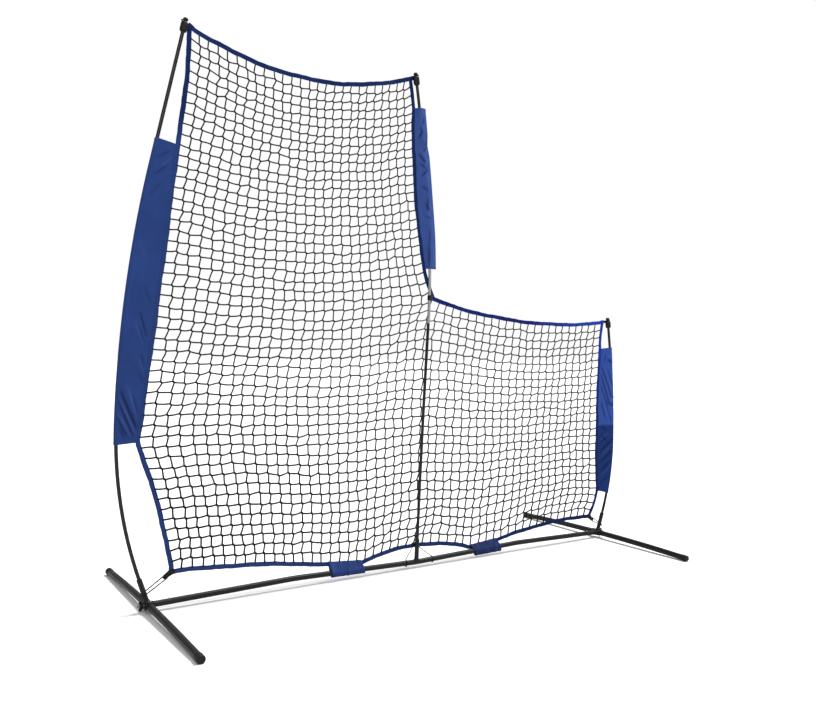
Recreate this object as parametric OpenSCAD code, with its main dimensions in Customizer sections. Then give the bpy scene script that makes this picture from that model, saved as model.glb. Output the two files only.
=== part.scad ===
// Bow-frame L screen: a net with one tall and one low panel, hung on three bent poles that stand in a
// tube base with two cross feet. Millimetres. X runs along the rail towards the low side, Y from the
// front to the back, Z up from the ground; the origin lies under the middle of the whole width.

/* [Base] */
// Distance from the centre tee to the foot under the tall pole
foot_left_x = 1142; // [1100:1:1190]
// Distance from the centre tee to the foot under the low pole
foot_right_x = 1114; // [1080:1:1160]
// Distance of the centre tee from the middle of the whole width
tee_x = 27; // [0:1:40]
// Length of each foot tube
foot_len = 1104; // [900:1:1300]
// Outside diameter of the foot tubes
foot_d = 25.5; // [24:0.5:30]
// Wall of the foot tubes
foot_wall = 1.5; // [1:0.1:2.5]
// Rise of a foot's middle above its ends
foot_rise = 12; // [6:0.5:24]
// Length of a foot cap
foot_cap_l = 28; // [20:0.5:36]
// Wall of a foot cap
foot_cap_wall = 1.4; // [1:0.1:2.5]
// Outside diameter of the rail, the tee and the bracket stubs
rail_d = 22; // [20:0.5:26]
// Wall of the rail, the tee and the bracket stubs
rail_wall = 1.5; // [1:0.1:2]
// Height of the rail's centre line at the tee
tee_z = 24; // [18:0.5:30]
// Height of the rail's centre line at its two bends
bend_z = 37.5; // [32:0.5:45]
// Distance of the rail's bends from the tee
bend_x = 575; // [520:1:700]
// Radius of the rail's bends
bend_r = 1500; // [600:10:2500]
// Distance from the tee to the joint with the left rail
joint_left_x = 347; // [300:1:400]
// Distance from the tee to the joint with the right rail
joint_right_x = 378; // [300:1:400]
// Length of a rail's swaged end in the tube that it fits
swage_l = 48; // [38:1:60]

/* [Corner brackets] */
// Distance from a foot's centre line to the mouth of its bracket's stub
stub_l = 100; // [90:1:130]
// Length of the saddle along the foot
saddle_l = 62; // [40:1:90]
// Thickness of the saddle plate
saddle_t = 2.5; // [2:0.1:4]
// Reach of the saddle's legs below the foot's centre line
saddle_drop = 12; // [8:0.5:14]
// Outside diameter of the pole sockets
socket_d = 19; // [17.5:0.1:22]
// Distance from a foot's centre line to the mouth of its pole socket
socket_l = 100; // [85:1:130]
// Height of the tee's pole socket above the rail's centre line
tee_socket_l = 98; // [80:1:130]
// Outward lean of the two outer sockets
socket_lean = 19; // [14:0.5:24]
// Diameter of the clamp stud
stud_d = 8; // [6:0.5:9]
// Span of the wing nut
wing_span = 36; // [30:0.5:44]
// Height of the wing nut
wing_h = 15; // [12:0.5:18]
// Diameter of the snap button
button_d = 7; // [5:0.1:8]
// Distance of the snap button from the mouth of the stub
button_back = 24; // [20:0.5:28]
// Height of the snap button above the tube
button_up = 3; // [2:0.1:4]

/* [Poles] */
// Diameter of the poles
pole_d = 13; // [11:0.1:14]
// Bore of the poles
pole_bore = 9.2; // [7:0.1:9.6]
// Length of the lower bend of the tall pole, above its straight foot
tall_low_l = 564; // [450:1:700]
// Turn of the lower bend of the tall pole
tall_low_turn = 19.8; // [15:0.1:23]
// Length of the upper bend of the tall pole
tall_bow_l = 932; // [850:1:1050]
// Turn of the upper bend of the tall pole
tall_bow_turn = 11; // [8:0.5:15]
// Length of the straight top of the tall pole
tall_top_l = 521; // [400:1:600]
// Lean of the middle pole at the tee
middle_lean = 1.5; // [0:0.1:3]
// Length of the middle pole below its ferrule
middle_low_l = 1035; // [1000:1:1070]
// Turn of the middle pole's upper part
middle_top_turn = 12.4; // [8:0.1:16]
// Length of the middle pole above the start of its ferrule
middle_top_l = 1065; // [1000:1:1130]
// Length of the bend of the low pole, above its straight foot
low_bend_l = 380; // [300:1:460]
// Turn of the bend of the low pole
low_bend_turn = 19; // [15:0.1:23]
// Length of the top of the low pole
low_top_l = 614; // [540:1:700]
// Turn of the top of the low pole
low_top_turn = 8.8; // [5:0.1:12]
// Visible length of the metal ferrules
ferrule_l = 240; // [120:1:260]
// Height of the cap bodies
cap_h = 38; // [30:0.5:46]
// Diameter of the cap bodies
cap_d = 27; // [23:0.5:30]
// Diameter of the knob on a cap
knob_d = 19; // [16:0.5:22]
// Height of the knob on a cap
knob_h = 10; // [8:0.5:13]

/* [Net] */
// Side of one square of the mesh
mesh = 42; // [38:1:46]
// Number of squares from one modelled strand to the next
strand_step = 3; // [3:1:4]
// Width of a strand of the mesh
strand_w = 4; // [3:0.5:6]
// Thickness of the net and its binding
net_t = 3; // [2:0.5:4]
// Distance of the net behind the poles
net_y = 13; // [13:0.5:16]
// Width of the binding
binding_w = 18; // [14:0.5:22]
// Sag of the tall panel's top edge
top_sag = 95; // [40:1:140]
// Sag of the low panel's top edge
low_sag = 35; // [20:1:60]
// Dip of the low panel's top edge beside the inner corner
low_dip = 57; // [30:1:70]
// Distance of the net's upper corners from the poles
corner_gap = 21; // [19:1:28]
// Depth of the tall panel's upper corners below the pole ends
corner_drop_tall = 8; // [6:1:30]
// Depth of the low panel's upper corner below the pole end
corner_drop_low = 8; // [6:1:20]
// Distance along the middle pole to the inner corner
inner_corner_s = 1167; // [1130:1:1200]
// Height of the lower corner beside the tall pole
corner_left_z = 130; // [116:1:150]
// Height of the lower corner beside the low pole
corner_right_z = 110; // [104:1:130]
// Distance of the lower corner beside the tall pole from its foot
corner_left_in = 87; // [78:1:100]
// Distance of the lower corner beside the low pole from its foot
corner_right_in = 51; // [46:1:70]
// Height of the binding's hump over the tee
hump_h = 43; // [36:1:50]

/* [Fabric] */
// Distance along the tall pole to the lower end of its sleeve
sleeve_left_from = 588; // [500:1:700]
// Distance along the tall pole to the upper end of its sleeve
sleeve_left_to = 1694; // [1550:1:1800]
// Distance from the tall pole to the binding at the ends of its sleeve
sleeve_left_w = 76; // [64:1:90]
// Distance along the middle pole to the lower end of its sleeve
sleeve_middle_from = 1274; // [1230:1:1330]
// Distance along the middle pole to the upper end of its sleeve
sleeve_middle_to = 1968; // [1850:1:2000]
// Distance from the middle pole to the binding at the ends of its sleeve
sleeve_middle_w = 22; // [20:1:30]
// Room in the middle sleeve on the far side of its pole
sleeve_middle_loose = 27; // [10:1:34]
// Distance along the low pole to the lower end of its sleeve
sleeve_right_from = 208; // [180:1:260]
// Distance along the low pole to the upper end of its sleeve
sleeve_right_to = 956; // [880:1:970]
// Distance from the low pole to the binding at the ends of its sleeve
sleeve_right_w = 60; // [52:1:80]
// Thickness of the sleeve and strap cloth
cloth_t = 1.6; // [1:0.1:2]
// Length of a strap along the rail
strap_l = 153; // [120:1:180]
// Width of the black webbing tabs
tab_w = 22; // [16:0.5:22]
// Thickness of the black webbing tabs
tab_t = 1.5; // [1:0.1:1.8]
// Diameter of the elastic cords
cord_d = 3; // [2:0.1:3.4]

/* [Hidden] */
$fn = 48;
slip = 0.2; // running clearance between sliding round parts, on the radius
sleeve_ease = 0.8; // room between a pole and its sleeve
seat = 0.3; // gap left between soft parts and what they lie on
lap = 2; // overlap of the pieces of a bar
fuller = 0.04; // added diameter of every other piece of a bar
cut = 1; // overrun of a cutting shape past the face that it cuts

foot_cap_end = 4; // thickness of a foot cap's closed end
foot_cap_r = foot_d / 2 + slip / 2 + foot_cap_wall;
sole_cut = 0.7; // depth of the flat cut under a foot cap
foot_end_z = foot_cap_r - sole_cut;
foot_mid_z = foot_end_z + foot_rise;
foot_r = (pow(foot_len / 2, 2) + pow(foot_rise, 2)) / (2 * foot_rise);
foot_turn = 2 * asin(foot_len / 2 / foot_r);
foot_path = [[foot_r * foot_turn * PI / 180, foot_turn]];
foot_start = [-foot_len / 2, foot_end_z, 90 - foot_turn / 2];

// A path is a list of [length, turn] pieces, and a place is [x, z, lean from the vertical]
base_w = foot_left_x + foot_right_x;
rail_in = atan((bend_z - tee_z) / bend_x);
rail_start = [0, tee_z, 90 - rail_in];
rail_bore = rail_d - 2 * rail_wall;
tee_bend_r = 1000;
tee_bend_t = tee_bend_r * tan(rail_in);
tee_path = [[joint_left_x - tee_bend_t, 0], [tee_bend_r * 2 * rail_in * PI / 180, -2 * rail_in],
    [joint_right_x - tee_bend_t, 0]];
tee_start = [-joint_left_x * cos(rail_in), tee_z + joint_left_x * sin(rail_in), 90 + rail_in];
swage_d = rail_bore - 2 * slip;
swage_bore = swage_d - 2.6;

saddle_r = foot_d / 2 + slip;
leg_x = saddle_r + saddle_t;
washer_t = 1.5;
washer_d = 17;
stud_end = leg_x + washer_t + wing_h + 6;
socket_bore = pole_d + 1.5 * slip;
socket_floor = leg_x + 4;
tee_floor = rail_d / 2 + 3;
weld = 4; // leg of a weld fillet

left_path = [[socket_l, 0], [tall_low_l, -tall_low_turn], [tall_bow_l, -tall_bow_turn], [tall_top_l, 0]];
right_path = [[socket_l, 0], [low_bend_l, -low_bend_turn], [low_top_l, -low_top_turn]];
middle_start = [0, tee_z, middle_lean];
middle_path = [[middle_low_l, 1.2], [0.38 * middle_top_l, -0.6 * middle_top_turn],
    [0.62 * middle_top_l, -0.4 * middle_top_turn]];
ferrule_from = middle_low_l;
spigot_d = pole_bore - slip;
spigot_l = 40;
cap_deep = cap_h - 4;
neck_d = pole_d - 1;
neck_h = 4;

net_front = net_y - net_t / 2;
binding_r = binding_w / 2;
pitch = mesh * strand_step;
strap_in_rise = 24; // height of the binding over the rail at the left strap's inner end
strap_out_rise = 33; // and at its outer end
strap_right_less = 8; // the right strap's lower place
bow_left_top = 8; // bows of the free and sleeved stretches of the binding
bow_left_sleeve = 3;
bow_left_low = 11;
bow_middle_sleeve = 18;
bow_right_sleeve = 10;
bow_right_low = -7;
bow_bottom_left = 12;
bow_bottom_right = 19;

// Corners and turning points of the binding's centre line, as [x, z] from the tee
top_left = inward(left_path, path_l(left_path), corner_gap, corner_drop_tall, -1);
top_middle = let (q = point_at(middle_path, path_l(middle_path), middle_start))
    [q[0] - corner_gap, q[1] - corner_drop_tall];
top_right = inward(right_path, path_l(right_path), corner_gap + 6, corner_drop_low, 1);
left_sleeve_top = beside(left_path, sleeve_left_to, sleeve_left_w, -1);
left_sleeve_low = beside(left_path, sleeve_left_from, sleeve_left_w, -1);
right_sleeve_top = beside(right_path, sleeve_right_to, sleeve_right_w, 1);
right_sleeve_low = beside(right_path, sleeve_right_from, sleeve_right_w, 1);
middle_sleeve_top = off_middle(sleeve_middle_to, -sleeve_middle_w);
middle_sleeve_low = off_middle(sleeve_middle_from, -sleeve_middle_w);
inner_corner = off_middle(inner_corner_s, corner_gap);
low_left = [corner_left_in - foot_left_x, corner_left_z];
low_right = [foot_right_x - corner_right_in, corner_right_z];
strap_left = [for (k = [1, -1]) over_rail(-joint_left_x - k * strap_l / 2, k)];
strap_right = [for (k = [-1, 1]) over_rail(joint_right_x + k * strap_l / 2, k)];

edge_left = join([bowed(low_left, left_sleeve_low, bow_left_low), bowed(left_sleeve_low, left_sleeve_top,
    bow_left_sleeve), bowed(left_sleeve_top, top_left, bow_left_top)]);
edge_top = bowed(top_left, top_middle, top_sag);
edge_middle = join([bowed(top_middle, middle_sleeve_top, 0), bowed(middle_sleeve_top, middle_sleeve_low,
    bow_middle_sleeve), bowed(middle_sleeve_low, inner_corner, 3)]);
low_turn = inner_corner + [147, -low_dip];
edge_low_top = join([bowed(inner_corner, low_turn, 3), bowed(low_turn, top_right, low_sag)]);
edge_right = join([bowed(top_right, right_sleeve_top, 3), bowed(right_sleeve_top, right_sleeve_low,
    bow_right_sleeve), bowed(right_sleeve_low, low_right, bow_right_low)]);
edge_bottom = join([bowed(low_right, strap_right[1], bow_bottom_right), strap_right_line(),
    bowed(strap_right[0], strap_left[1], hump_h), strap_left_line(),
    bowed(strap_left[0], low_left, bow_bottom_left)]);

// ---- the two sides, -1 under the tall pole and 1 under the low pole

function foot_x(s) = s < 0 ? foot_left_x : foot_right_x;

function outer_start(s) = [foot_x(s), foot_mid_z, socket_lean];

function rail_out(s) = atan((bend_z - foot_mid_z) / (foot_x(s) - bend_x));

function rail_path(s) =
    let (turn = rail_in + rail_out(s), t = bend_r * tan(turn / 2))
    [[bend_x / cos(rail_in) - t, 0], [bend_r * turn * PI / 180, turn],
        [(foot_x(s) - bend_x) / cos(rail_out(s)) - t, 0]];

function rail_end(s) = path_l(rail_path(s)) - stub_l;

// ---- paths and curves

function path_l(path, i = 0) = i == len(path) ? 0 : path[i][0] + path_l(path, i + 1);

function start_of(path, i) = i == 0 ? 0 : start_of(path, i - 1) + path[i - 1][0];

// Place after a further l millimetres that turn t degrees
function step(p, l, t) =
    let (chord = abs(t) < 0.001 ? l : l * sin(t / 2) / (t / 2 * PI / 180))
    [p[0] + chord * sin(p[2] + t / 2), p[1] + chord * cos(p[2] + t / 2), p[2] + t];

// Place at the distance s along a path that starts at p
function point_at(path, s, p, i = 0) =
    i == len(path) ? step(p, s, 0) :
    s <= path[i][0] ? step(p, s, path[i][1] * s / path[i][0]) :
    point_at(path, s - path[i][0], step(p, path[i][0], path[i][1]), i + 1);

// Points of the net's edge beside an outer pole, square to it or level and down from it
function beside(path, s, w, side) =
    let (q = point_at(path, s, outer_start(side))) [side * (q[0] - w * cos(q[2])), q[1] + w * sin(q[2])];

function inward(path, s, gap, drop, side) =
    let (q = point_at(path, s, outer_start(side))) [side * (q[0] - gap), q[1] - drop];

function off_middle(s, w) =
    let (q = point_at(middle_path, s, middle_start)) [q[0] + w * cos(q[2]), q[1] - w * sin(q[2])];

function rail_z(x) = tee_z + abs(x) * tan(rail_in);

function over_rail(x, k) =
    [x, rail_z(x) + (k > 0 ? strap_out_rise : strap_in_rise) - (x > 0 ? strap_right_less : 0)];

function strap_left_line() = [for (k = [0 : 2]) strap_left[1] + (strap_left[0] - strap_left[1]) * k / 2];

function strap_right_line() = [for (k = [0 : 2]) strap_right[1] + (strap_right[0] - strap_right[1]) * k / 2];

// Parabola from a to b that stands off its chord by bow, to the right of the way along it
function bowed(a, b, bow, n = 12) =
    let (d = b - a, side = [d[1], -d[0]] / norm(d))
    [for (k = [0 : n]) let (u = k / n) a + d * u + side * bow * 4 * u * (1 - u)];

// Stretches joined end to end, with each shared point kept once
function join(parts) =
    [for (i = [0 : len(parts) - 1]) for (k = [(i == 0 ? 0 : 1) : len(parts[i]) - 1]) parts[i][k]];

function last(points) = points[len(points) - 1];

function flip(points) = [for (k = [len(points) - 1 : -1 : 0]) points[k]];

// Points that lie w to the right of a line
function beside_line(line, w) =
    [for (k = [0 : len(line) - 1])
        let (d = line[min(k + 1, len(line) - 1)] - line[max(k - 1, 0)])
        line[k] + [d[1], -d[0]] * w / norm(d)];

// ---- solids on paths

module at_place(q) translate([q[0], 0, q[1]]) rotate([0, q[2], 0]) children();

module at_tee() translate([tee_x, 0, 0]) children();

module on_side(s) at_tee() mirror([s < 0 ? 1 : 0, 0, 0]) children();

module at_foot(s) on_side(s) translate([foot_x(s), 0, foot_mid_z]) children();

module bend(l, t) {
    if (abs(t) < 0.001) {
        linear_extrude(l) children();
    } else {
        r = l / abs(t) * 180 / PI;
        mirror([t > 0 ? 1 : 0, 0, 0]) translate([-r, 0, 0]) rotate([90, 0, 0])
            rotate_extrude(angle = abs(t), $fn = ceil(l / 20) * 360 / abs(t))
                translate([r, 0]) children();
    }
}

// Round bar along a path, between two distances from its start. Every other piece of the path is a
// hair fuller and takes in the ends of its neighbours, so that the pieces make one solid.
module bar(path, p, from, to, d) {
    last = len(path) - 1;
    for (i = [0 : last]) {
        s = start_of(path, i);
        rate = path[i][1] / path[i][0];
        a = i == 0 ? from : max(from, s);
        b = i == last ? to : min(to, s + path[i][0]);
        full = i % 2;
        a_lap = a - (full == 0 && a > from ? lap : 0);
        b_lap = b + (full == 0 && b < to ? lap : 0);
        if (b > a)
            at_place(step(point_at(path, s, p), a_lap - s, rate * (a_lap - s)))
                bend(b_lap - a_lap, rate * (b_lap - a_lap)) circle(d = d + full * fuller, $fn = 48);
    }
}

module tube(path, p, from, to, d, bore) {
    difference() {
        bar(path, p, from, to, d);
        bar(path, p, from - cut, to + cut, bore);
    }
}

module ring(d, bore) {
    difference() {
        circle(d = d);
        circle(d = bore);
    }
}

function unit(v) = v / norm(v);

// Elastic cord along a route of 3D points that lie about square to the given normal
module cord(route, normal, n = 8) {
    last = len(route) - 1;
    points = [for (k = [0 : last])
        let (along = unit(route[min(k + 1, last)] - route[max(k - 1, 0)]), u = unit(cross(along, normal)),
            v = cross(u, along))
        for (j = [0 : n - 1]) route[k] + cord_d / 2 * (cos(360 * j / n) * u + sin(360 * j / n) * v)];
    sides = [for (k = [0 : last - 1]) for (j = [0 : n - 1]) let (i = (j + 1) % n) each [
        [k * n + j, k * n + i, (k + 1) * n + i], [k * n + j, (k + 1) * n + i, (k + 1) * n + j]]];
    ends = [[for (j = [n - 1 : -1 : 0]) j], [for (j = [0 : n - 1]) last * n + j]];
    polyhedron(points, concat(sides, ends));
}

// Arc of a cord's route round a centre: from the direction u towards v, both unit vectors
function turn(centre, r, u, v, from, to, n = 12) =
    [for (k = [0 : n]) let (a = from + (to - from) * k / n) centre + r * (cos(a) * u + sin(a) * v)];

// Outline of a cloth pulled round circles [x, y, r]: the furthest one in each direction carries it
function furthest(circles, d, i = 0, best = 0) =
    i == len(circles) ? best :
    furthest(circles, d, i + 1,
        reach(circles[i], d) > reach(circles[best], d) ? i : best);

function reach(c, d) = c[0] * d[0] + c[1] * d[1] + c[2];

function rim(circles, less, n) =
    [for (k = [0 : n - 1])
        let (d = [cos(360 * k / n), sin(360 * k / n)], c = circles[furthest(circles, d)])
        [c[0], c[1]] + (c[2] - less) * d];

// Thin-walled tube of cloth: each station is [x, z, lean of its own x axis, circles]
module cloth_tube(stations, t, n = 24) {
    m = len(stations);
    points = [for (s = stations) for (less = [0, t]) for (p = rim(s[3], less, n))
        [s[0] + p[0] * cos(s[2]), p[1], s[1] - p[0] * sin(s[2])]];
    function at(i, layer, k) = (2 * i + layer) * n + k % n;
    sides = [for (i = [0 : m - 2]) for (k = [0 : n - 1]) each [
        [at(i, 0, k), at(i + 1, 0, k), at(i + 1, 0, k + 1)],
        [at(i, 0, k), at(i + 1, 0, k + 1), at(i, 0, k + 1)],
        [at(i, 1, k), at(i + 1, 1, k + 1), at(i + 1, 1, k)],
        [at(i, 1, k), at(i, 1, k + 1), at(i + 1, 1, k + 1)]]];
    ends = [for (k = [0 : n - 1]) each [
        [at(0, 0, k), at(0, 0, k + 1), at(0, 1, k + 1)], [at(0, 0, k), at(0, 1, k + 1), at(0, 1, k)],
        [at(m - 1, 0, k), at(m - 1, 1, k + 1), at(m - 1, 0, k + 1)],
        [at(m - 1, 0, k), at(m - 1, 1, k), at(m - 1, 1, k + 1)]]];
    polyhedron(points, concat(sides, ends));
}

// ---- base

module foot_tube(s) {
    color("#2b2c30") difference() {
        on_side(s) translate([foot_x(s), 0, 0]) rotate([0, 0, 90])
            tube(foot_path, foot_start, 0, path_l(foot_path), foot_d, foot_d - 2 * foot_wall);
        at_foot(s) rotate([0, 90, 0]) cylinder(d = stud_d + 2 * slip, h = foot_d + 2 * cut, center = true);
    }
}

module foot_cap() {
    round_r = 3;
    rotate_extrude() difference() {
        union() {
            translate([0, -foot_cap_l]) square([foot_cap_r, foot_cap_l - round_r]);
            translate([0, -foot_cap_l]) square([foot_cap_r - round_r, foot_cap_l]);
            translate([foot_cap_r - round_r, -round_r]) circle(r = round_r);
        }
        translate([-cut, -foot_cap_l - cut])
            square([foot_d / 2 + slip / 2 + cut, foot_cap_l - foot_cap_end + cut]);
    }
}

module foot_caps(s) {
    color("#17181a") difference() {
        on_side(s) translate([foot_x(s), 0, 0]) for (k = [0, 1])
            rotate([0, 0, 90 + 180 * k]) at_place(step(point_at(foot_path, path_l(foot_path), foot_start),
                foot_cap_end, 0)) foot_cap();
        translate([-base_w, -foot_len, -foot_cap_l]) cube([2 * base_w, 2 * foot_len, foot_cap_l]);
    }
}

module saddle_outline() {
    circle(r = leg_x);
    translate([-leg_x, -saddle_drop]) square([2 * leg_x, saddle_drop]);
}

module corner_bracket(s) {
    color("#26272a") at_foot(s) difference() {
        union() {
            rotate([90, 0, 0]) linear_extrude(saddle_l, center = true) saddle_outline();
            rotate([0, socket_lean, 0]) {
                cylinder(d = socket_d, h = socket_l);
                translate([0, 0, leg_x - 1]) cylinder(d1 = socket_d + 2 * weld, d2 = socket_d, h = weld);
            }
            rotate([0, rail_out(s) - 90, 0]) {
                cylinder(d = rail_d, h = stub_l);
                translate([0, 0, leg_x - 1]) cylinder(d1 = rail_d + 1.5 * weld, d2 = rail_d, h = weld);
            }
        }
        rotate([90, 0, 0]) cylinder(r = saddle_r, h = saddle_l + 2 * cut, center = true);
        translate([-saddle_r, -saddle_l / 2 - cut, -2 * foot_d]) cube([2 * saddle_r, saddle_l + 2 * cut,
            2 * foot_d]);
        rotate([0, socket_lean, 0]) translate([0, 0, socket_floor]) cylinder(d = socket_bore, h = socket_l);
        rotate([0, rail_out(s) - 90, 0]) translate([0, 0, leg_x - slip])
            cylinder(d = rail_bore, h = stub_l);
        rotate([0, 90, 0]) cylinder(d = stud_d + 2 * slip, h = 4 * foot_d, center = true);
        rotate([0, rail_out(s) - 90, 0]) translate([0, 0, stub_l - button_back]) rotate([0, 90, 0])
            cylinder(d = button_d + 3 * slip, h = rail_d);
    }
}

module bracket_stud(s) {
    head_h = 5.5;
    head_d = 15;
    color("#8d9095") at_foot(s) {
        translate([-leg_x, 0, 0]) rotate([0, 90, 0]) cylinder(d = stud_d, h = leg_x + stud_end);
        translate([-leg_x - slip - head_h, 0, 0]) rotate([0, 90, 0])
            cylinder(d = head_d, h = head_h + slip, $fn = 6);
    }
}

module stud_washer(s) {
    color("#8d9095") at_foot(s) translate([leg_x, 0, 0]) rotate([0, 90, 0])
        linear_extrude(washer_t) ring(washer_d, stud_d + 2 * slip);
}

module wing_nut(s) {
    hub_d = 16;
    wing_t = 3.2;
    tip_r = 5.5;
    color("#1b1c1e") at_foot(s) translate([leg_x + washer_t + seat, 0, 0]) rotate([0, 90, 0]) difference() {
        union() {
            cylinder(d = hub_d, h = 4);
            translate([0, 0, 4]) cylinder(d1 = hub_d, d2 = hub_d - 4, h = wing_h - 7);
            rotate([90, 0, 0]) linear_extrude(wing_t, center = true) for (k = [-1, 1]) {
                translate([k * (wing_span / 2 - tip_r), wing_h - tip_r]) circle(r = tip_r);
                polygon([[0, 0], [k * hub_d / 2, 0], [k * (wing_span / 2 - 1), wing_h - tip_r - 2],
                    [k * (wing_span / 2 - tip_r - 2), wing_h - 1], [k * 2, wing_h - 5]]);
            }
        }
        translate([0, 0, -cut]) cylinder(d = stud_d + 2 * slip, h = wing_h + 2 * cut);
    }
}

module centre_tee() {
    color("#26272a") at_tee() difference() {
        union() {
            bar(tee_path, tee_start, 0, path_l(tee_path), rail_d);
            translate([0, 0, tee_z]) rotate([0, middle_lean, 0]) {
                cylinder(d = socket_d, h = tee_socket_l);
                translate([0, 0, rail_d / 2 - 2.5])
                    cylinder(d1 = socket_d + 2 * weld, d2 = socket_d, h = 2 * weld);
            }
        }
        bar(tee_path, tee_start, -cut, joint_left_x - socket_d, rail_bore);
        bar(tee_path, tee_start, joint_left_x + socket_d, path_l(tee_path) + cut, rail_bore);
        at_place(middle_start) translate([0, 0, tee_floor]) cylinder(d = socket_bore, h = tee_socket_l);
    }
}

module rail(s, joint_x) {
    color("#2b2c30") difference() {
        on_side(s) difference() {
            union() {
                bar(rail_path(s), rail_start, joint_x, rail_end(s), rail_d);
                bar(rail_path(s), rail_start, joint_x - swage_l, joint_x + lap, swage_d);
                bar(rail_path(s), rail_start, rail_end(s) - lap, rail_end(s) + swage_l, swage_d);
            }
            bar(rail_path(s), rail_start, joint_x - swage_l - cut, rail_end(s) + swage_l + cut, swage_bore);
        }
        at_button(s) cylinder(d = button_d + 3 * slip, h = rail_d);
    }
}

// Frame on the rail's centre line under a snap button: Z points up through the button, X to the foot
module at_button(s) {
    on_side(s) at_place(point_at(rail_path(s), rail_end(s) + button_back, rail_start))
        rotate([0, -90, 0]) children();
}

flange_z = swage_bore / 2 - 3.4; // underside of a snap button's flange

module snap_button(s) {
    flange_t = 1.5;
    dome = 1.2;
    top = rail_d / 2 + button_up;
    color("#b9bcc0") at_button(s) {
        translate([0, 0, flange_z]) cylinder(d = button_d + 2.4, h = flange_t);
        translate([0, 0, flange_z]) cylinder(d = button_d, h = top - dome - flange_z);
        translate([0, 0, top - dome]) cylinder(d1 = button_d, d2 = button_d - 2.4, h = dome);
    }
}

module button_spring(s) {
    leaf = 0.8;
    low = 0.5 - swage_bore / 2;
    up = flange_z - seat;
    color("#9a9da1") at_button(s) rotate([90, 0, 0]) linear_extrude(5, center = true)
        polygon([[5, low], [-16, low], [-17, low + leaf], [4, up], [6, up], [6, up - leaf], [4.5, up - leaf],
            [-14.5, low + leaf], [5, low + leaf]]);
}

// ---- poles

module pole(path, p, from, to) color("#1f2023") tube(path, p, from, to, pole_d, pole_bore);

module ferrule(path, p) {
    from = ferrule_from;
    to = ferrule_from + ferrule_l;
    color("#b5b7b5") {
        bar(path, p, from, to, pole_d - 2 * slip);
        bar(path, p, from - spigot_l, to + spigot_l, spigot_d);
    }
}

// Cap over a pole's end, with a neck and a knob that hold the net's corner loop
module pole_cap(path, p) {
    body_r = cap_d / 2;
    shoulder = 7;
    foot_in = 2;
    knob_r = knob_d / 2;
    neck_z = cap_h;
    top = cap_h + neck_h + knob_h;
    color("#131415") at_place(step(point_at(path, path_l(path), p), -cap_deep, 0)) rotate_extrude() {
        difference() {
            polygon([[0, 0], [body_r - foot_in, 0], [body_r, 8], [body_r, cap_h - shoulder],
                [neck_d / 2 + 1, neck_z], [neck_d / 2, neck_z], [neck_d / 2, neck_z + neck_h],
                [knob_r - 2, neck_z + neck_h], [knob_r, neck_z + neck_h + 2.5], [knob_r, top - 5],
                [knob_r - 1.5, top - 2], [knob_r - 4.5, top], [0, top]]);
            translate([-cut, -cut]) square([socket_bore / 2 + cut, cap_deep + cut]);
        }
    }
}

// ---- net

module flat(t = net_t, y = net_y) {
    at_tee() translate([0, y, 0]) rotate([90, 0, 0]) linear_extrude(t, center = true) children();
}

module band(line, w = binding_w) polygon(concat(beside_line(line, w / 2), flip(beside_line(line, -w / 2))));

seam_x = inner_corner[0];

// Ground that the net may cover: to the inner side of the binding, less a margin
function inner(line, less) = beside_line(line, binding_r + less);

module below_top(line, less) {
    edge = inner(line, less);
    polygon(concat(edge, [[base_w, last(edge)[1]], [base_w, 0], [-base_w, 0], [-base_w, edge[0][1]]]));
}

module above_bottom(less) {
    edge = inner(edge_bottom, less);
    polygon(concat(edge, [[-base_w, last(edge)[1]], [-base_w, base_w], [base_w, base_w],
        [base_w, edge[0][1]]]));
}

module right_of_left(less) {
    edge = inner(edge_left, less);
    polygon(concat([[edge[0][0], 0]], edge, [[last(edge)[0], base_w], [base_w, base_w], [base_w, 0]]));
}

module left_of(line, less, foot_x) {
    edge = inner(line, less);
    polygon(concat([[edge[0][0], base_w]], edge, [[foot_x, last(edge)[1]], [foot_x, 0], [-base_w, 0],
        [-base_w, base_w]]));
}

module tall_area(less) {
    intersection() {
        right_of_left(less);
        below_top(edge_top, less);
        left_of(edge_middle, less, seam_x - less / 2);
        above_bottom(less);
    }
}

module low_area(less) {
    intersection() {
        translate([seam_x + less / 2, 0]) square(base_w);
        below_top(edge_low_top, less);
        left_of(edge_right, less, last(inner(edge_right, less))[0]);
        above_bottom(less);
    }
}

// Room for the top of the straps, whose cloth goes over the binding: the net stops there
module strap_tops() {
    for (ends = [strap_left, strap_right])
        band([ends[0] - [6 * seat, 0], ends[1] + [6 * seat, 0]], binding_w + 2 * strand_w + 2);
}

// Openings between the strands, from the seam outwards
module gaps(columns, h) {
    for (i = columns) for (j = [0 : ceil(h / pitch) - 1])
        translate([seam_x + i * pitch + strand_w / 2, j * pitch + strand_w / 2]) square(pitch - strand_w);
}

module net_tall_panel() {
    columns = ceil((seam_x - left_sleeve_low[0]) / pitch);
    color("#17181a") flat() difference() {
        tall_area(0);
        strap_tops();
        band(edge_low_top);
        intersection() {
            tall_area(strand_w);
            gaps([-columns : -1], top_left[1]);
        }
    }
}

module net_low_panel() {
    columns = ceil((right_sleeve_low[0] - seam_x) / pitch);
    color("#17181a") flat() difference() {
        low_area(0);
        strap_tops();
        intersection() {
            low_area(strand_w);
            gaps([0 : columns - 1], inner_corner[1]);
        }
    }
}

module binding_left() color("#1d3f86") flat() band(edge_left);

module binding_right() color("#1d3f86") flat() band(edge_right);

module binding_middle() color("#1d3f86") flat() band(edge_middle);

module binding_top_tall() {
    color("#1d3f86") flat() difference() {
        band(edge_top);
        band(edge_left);
        band(edge_middle);
    }
}

module binding_top_low() {
    color("#1d3f86") flat() difference() {
        band(edge_low_top);
        band(edge_middle);
        band(edge_right);
    }
}

module binding_bottom() {
    color("#1d3f86") flat() difference() {
        band(edge_bottom);
        band(edge_left);
        band(edge_right);
    }
}

// ---- cloth and webbing

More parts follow.
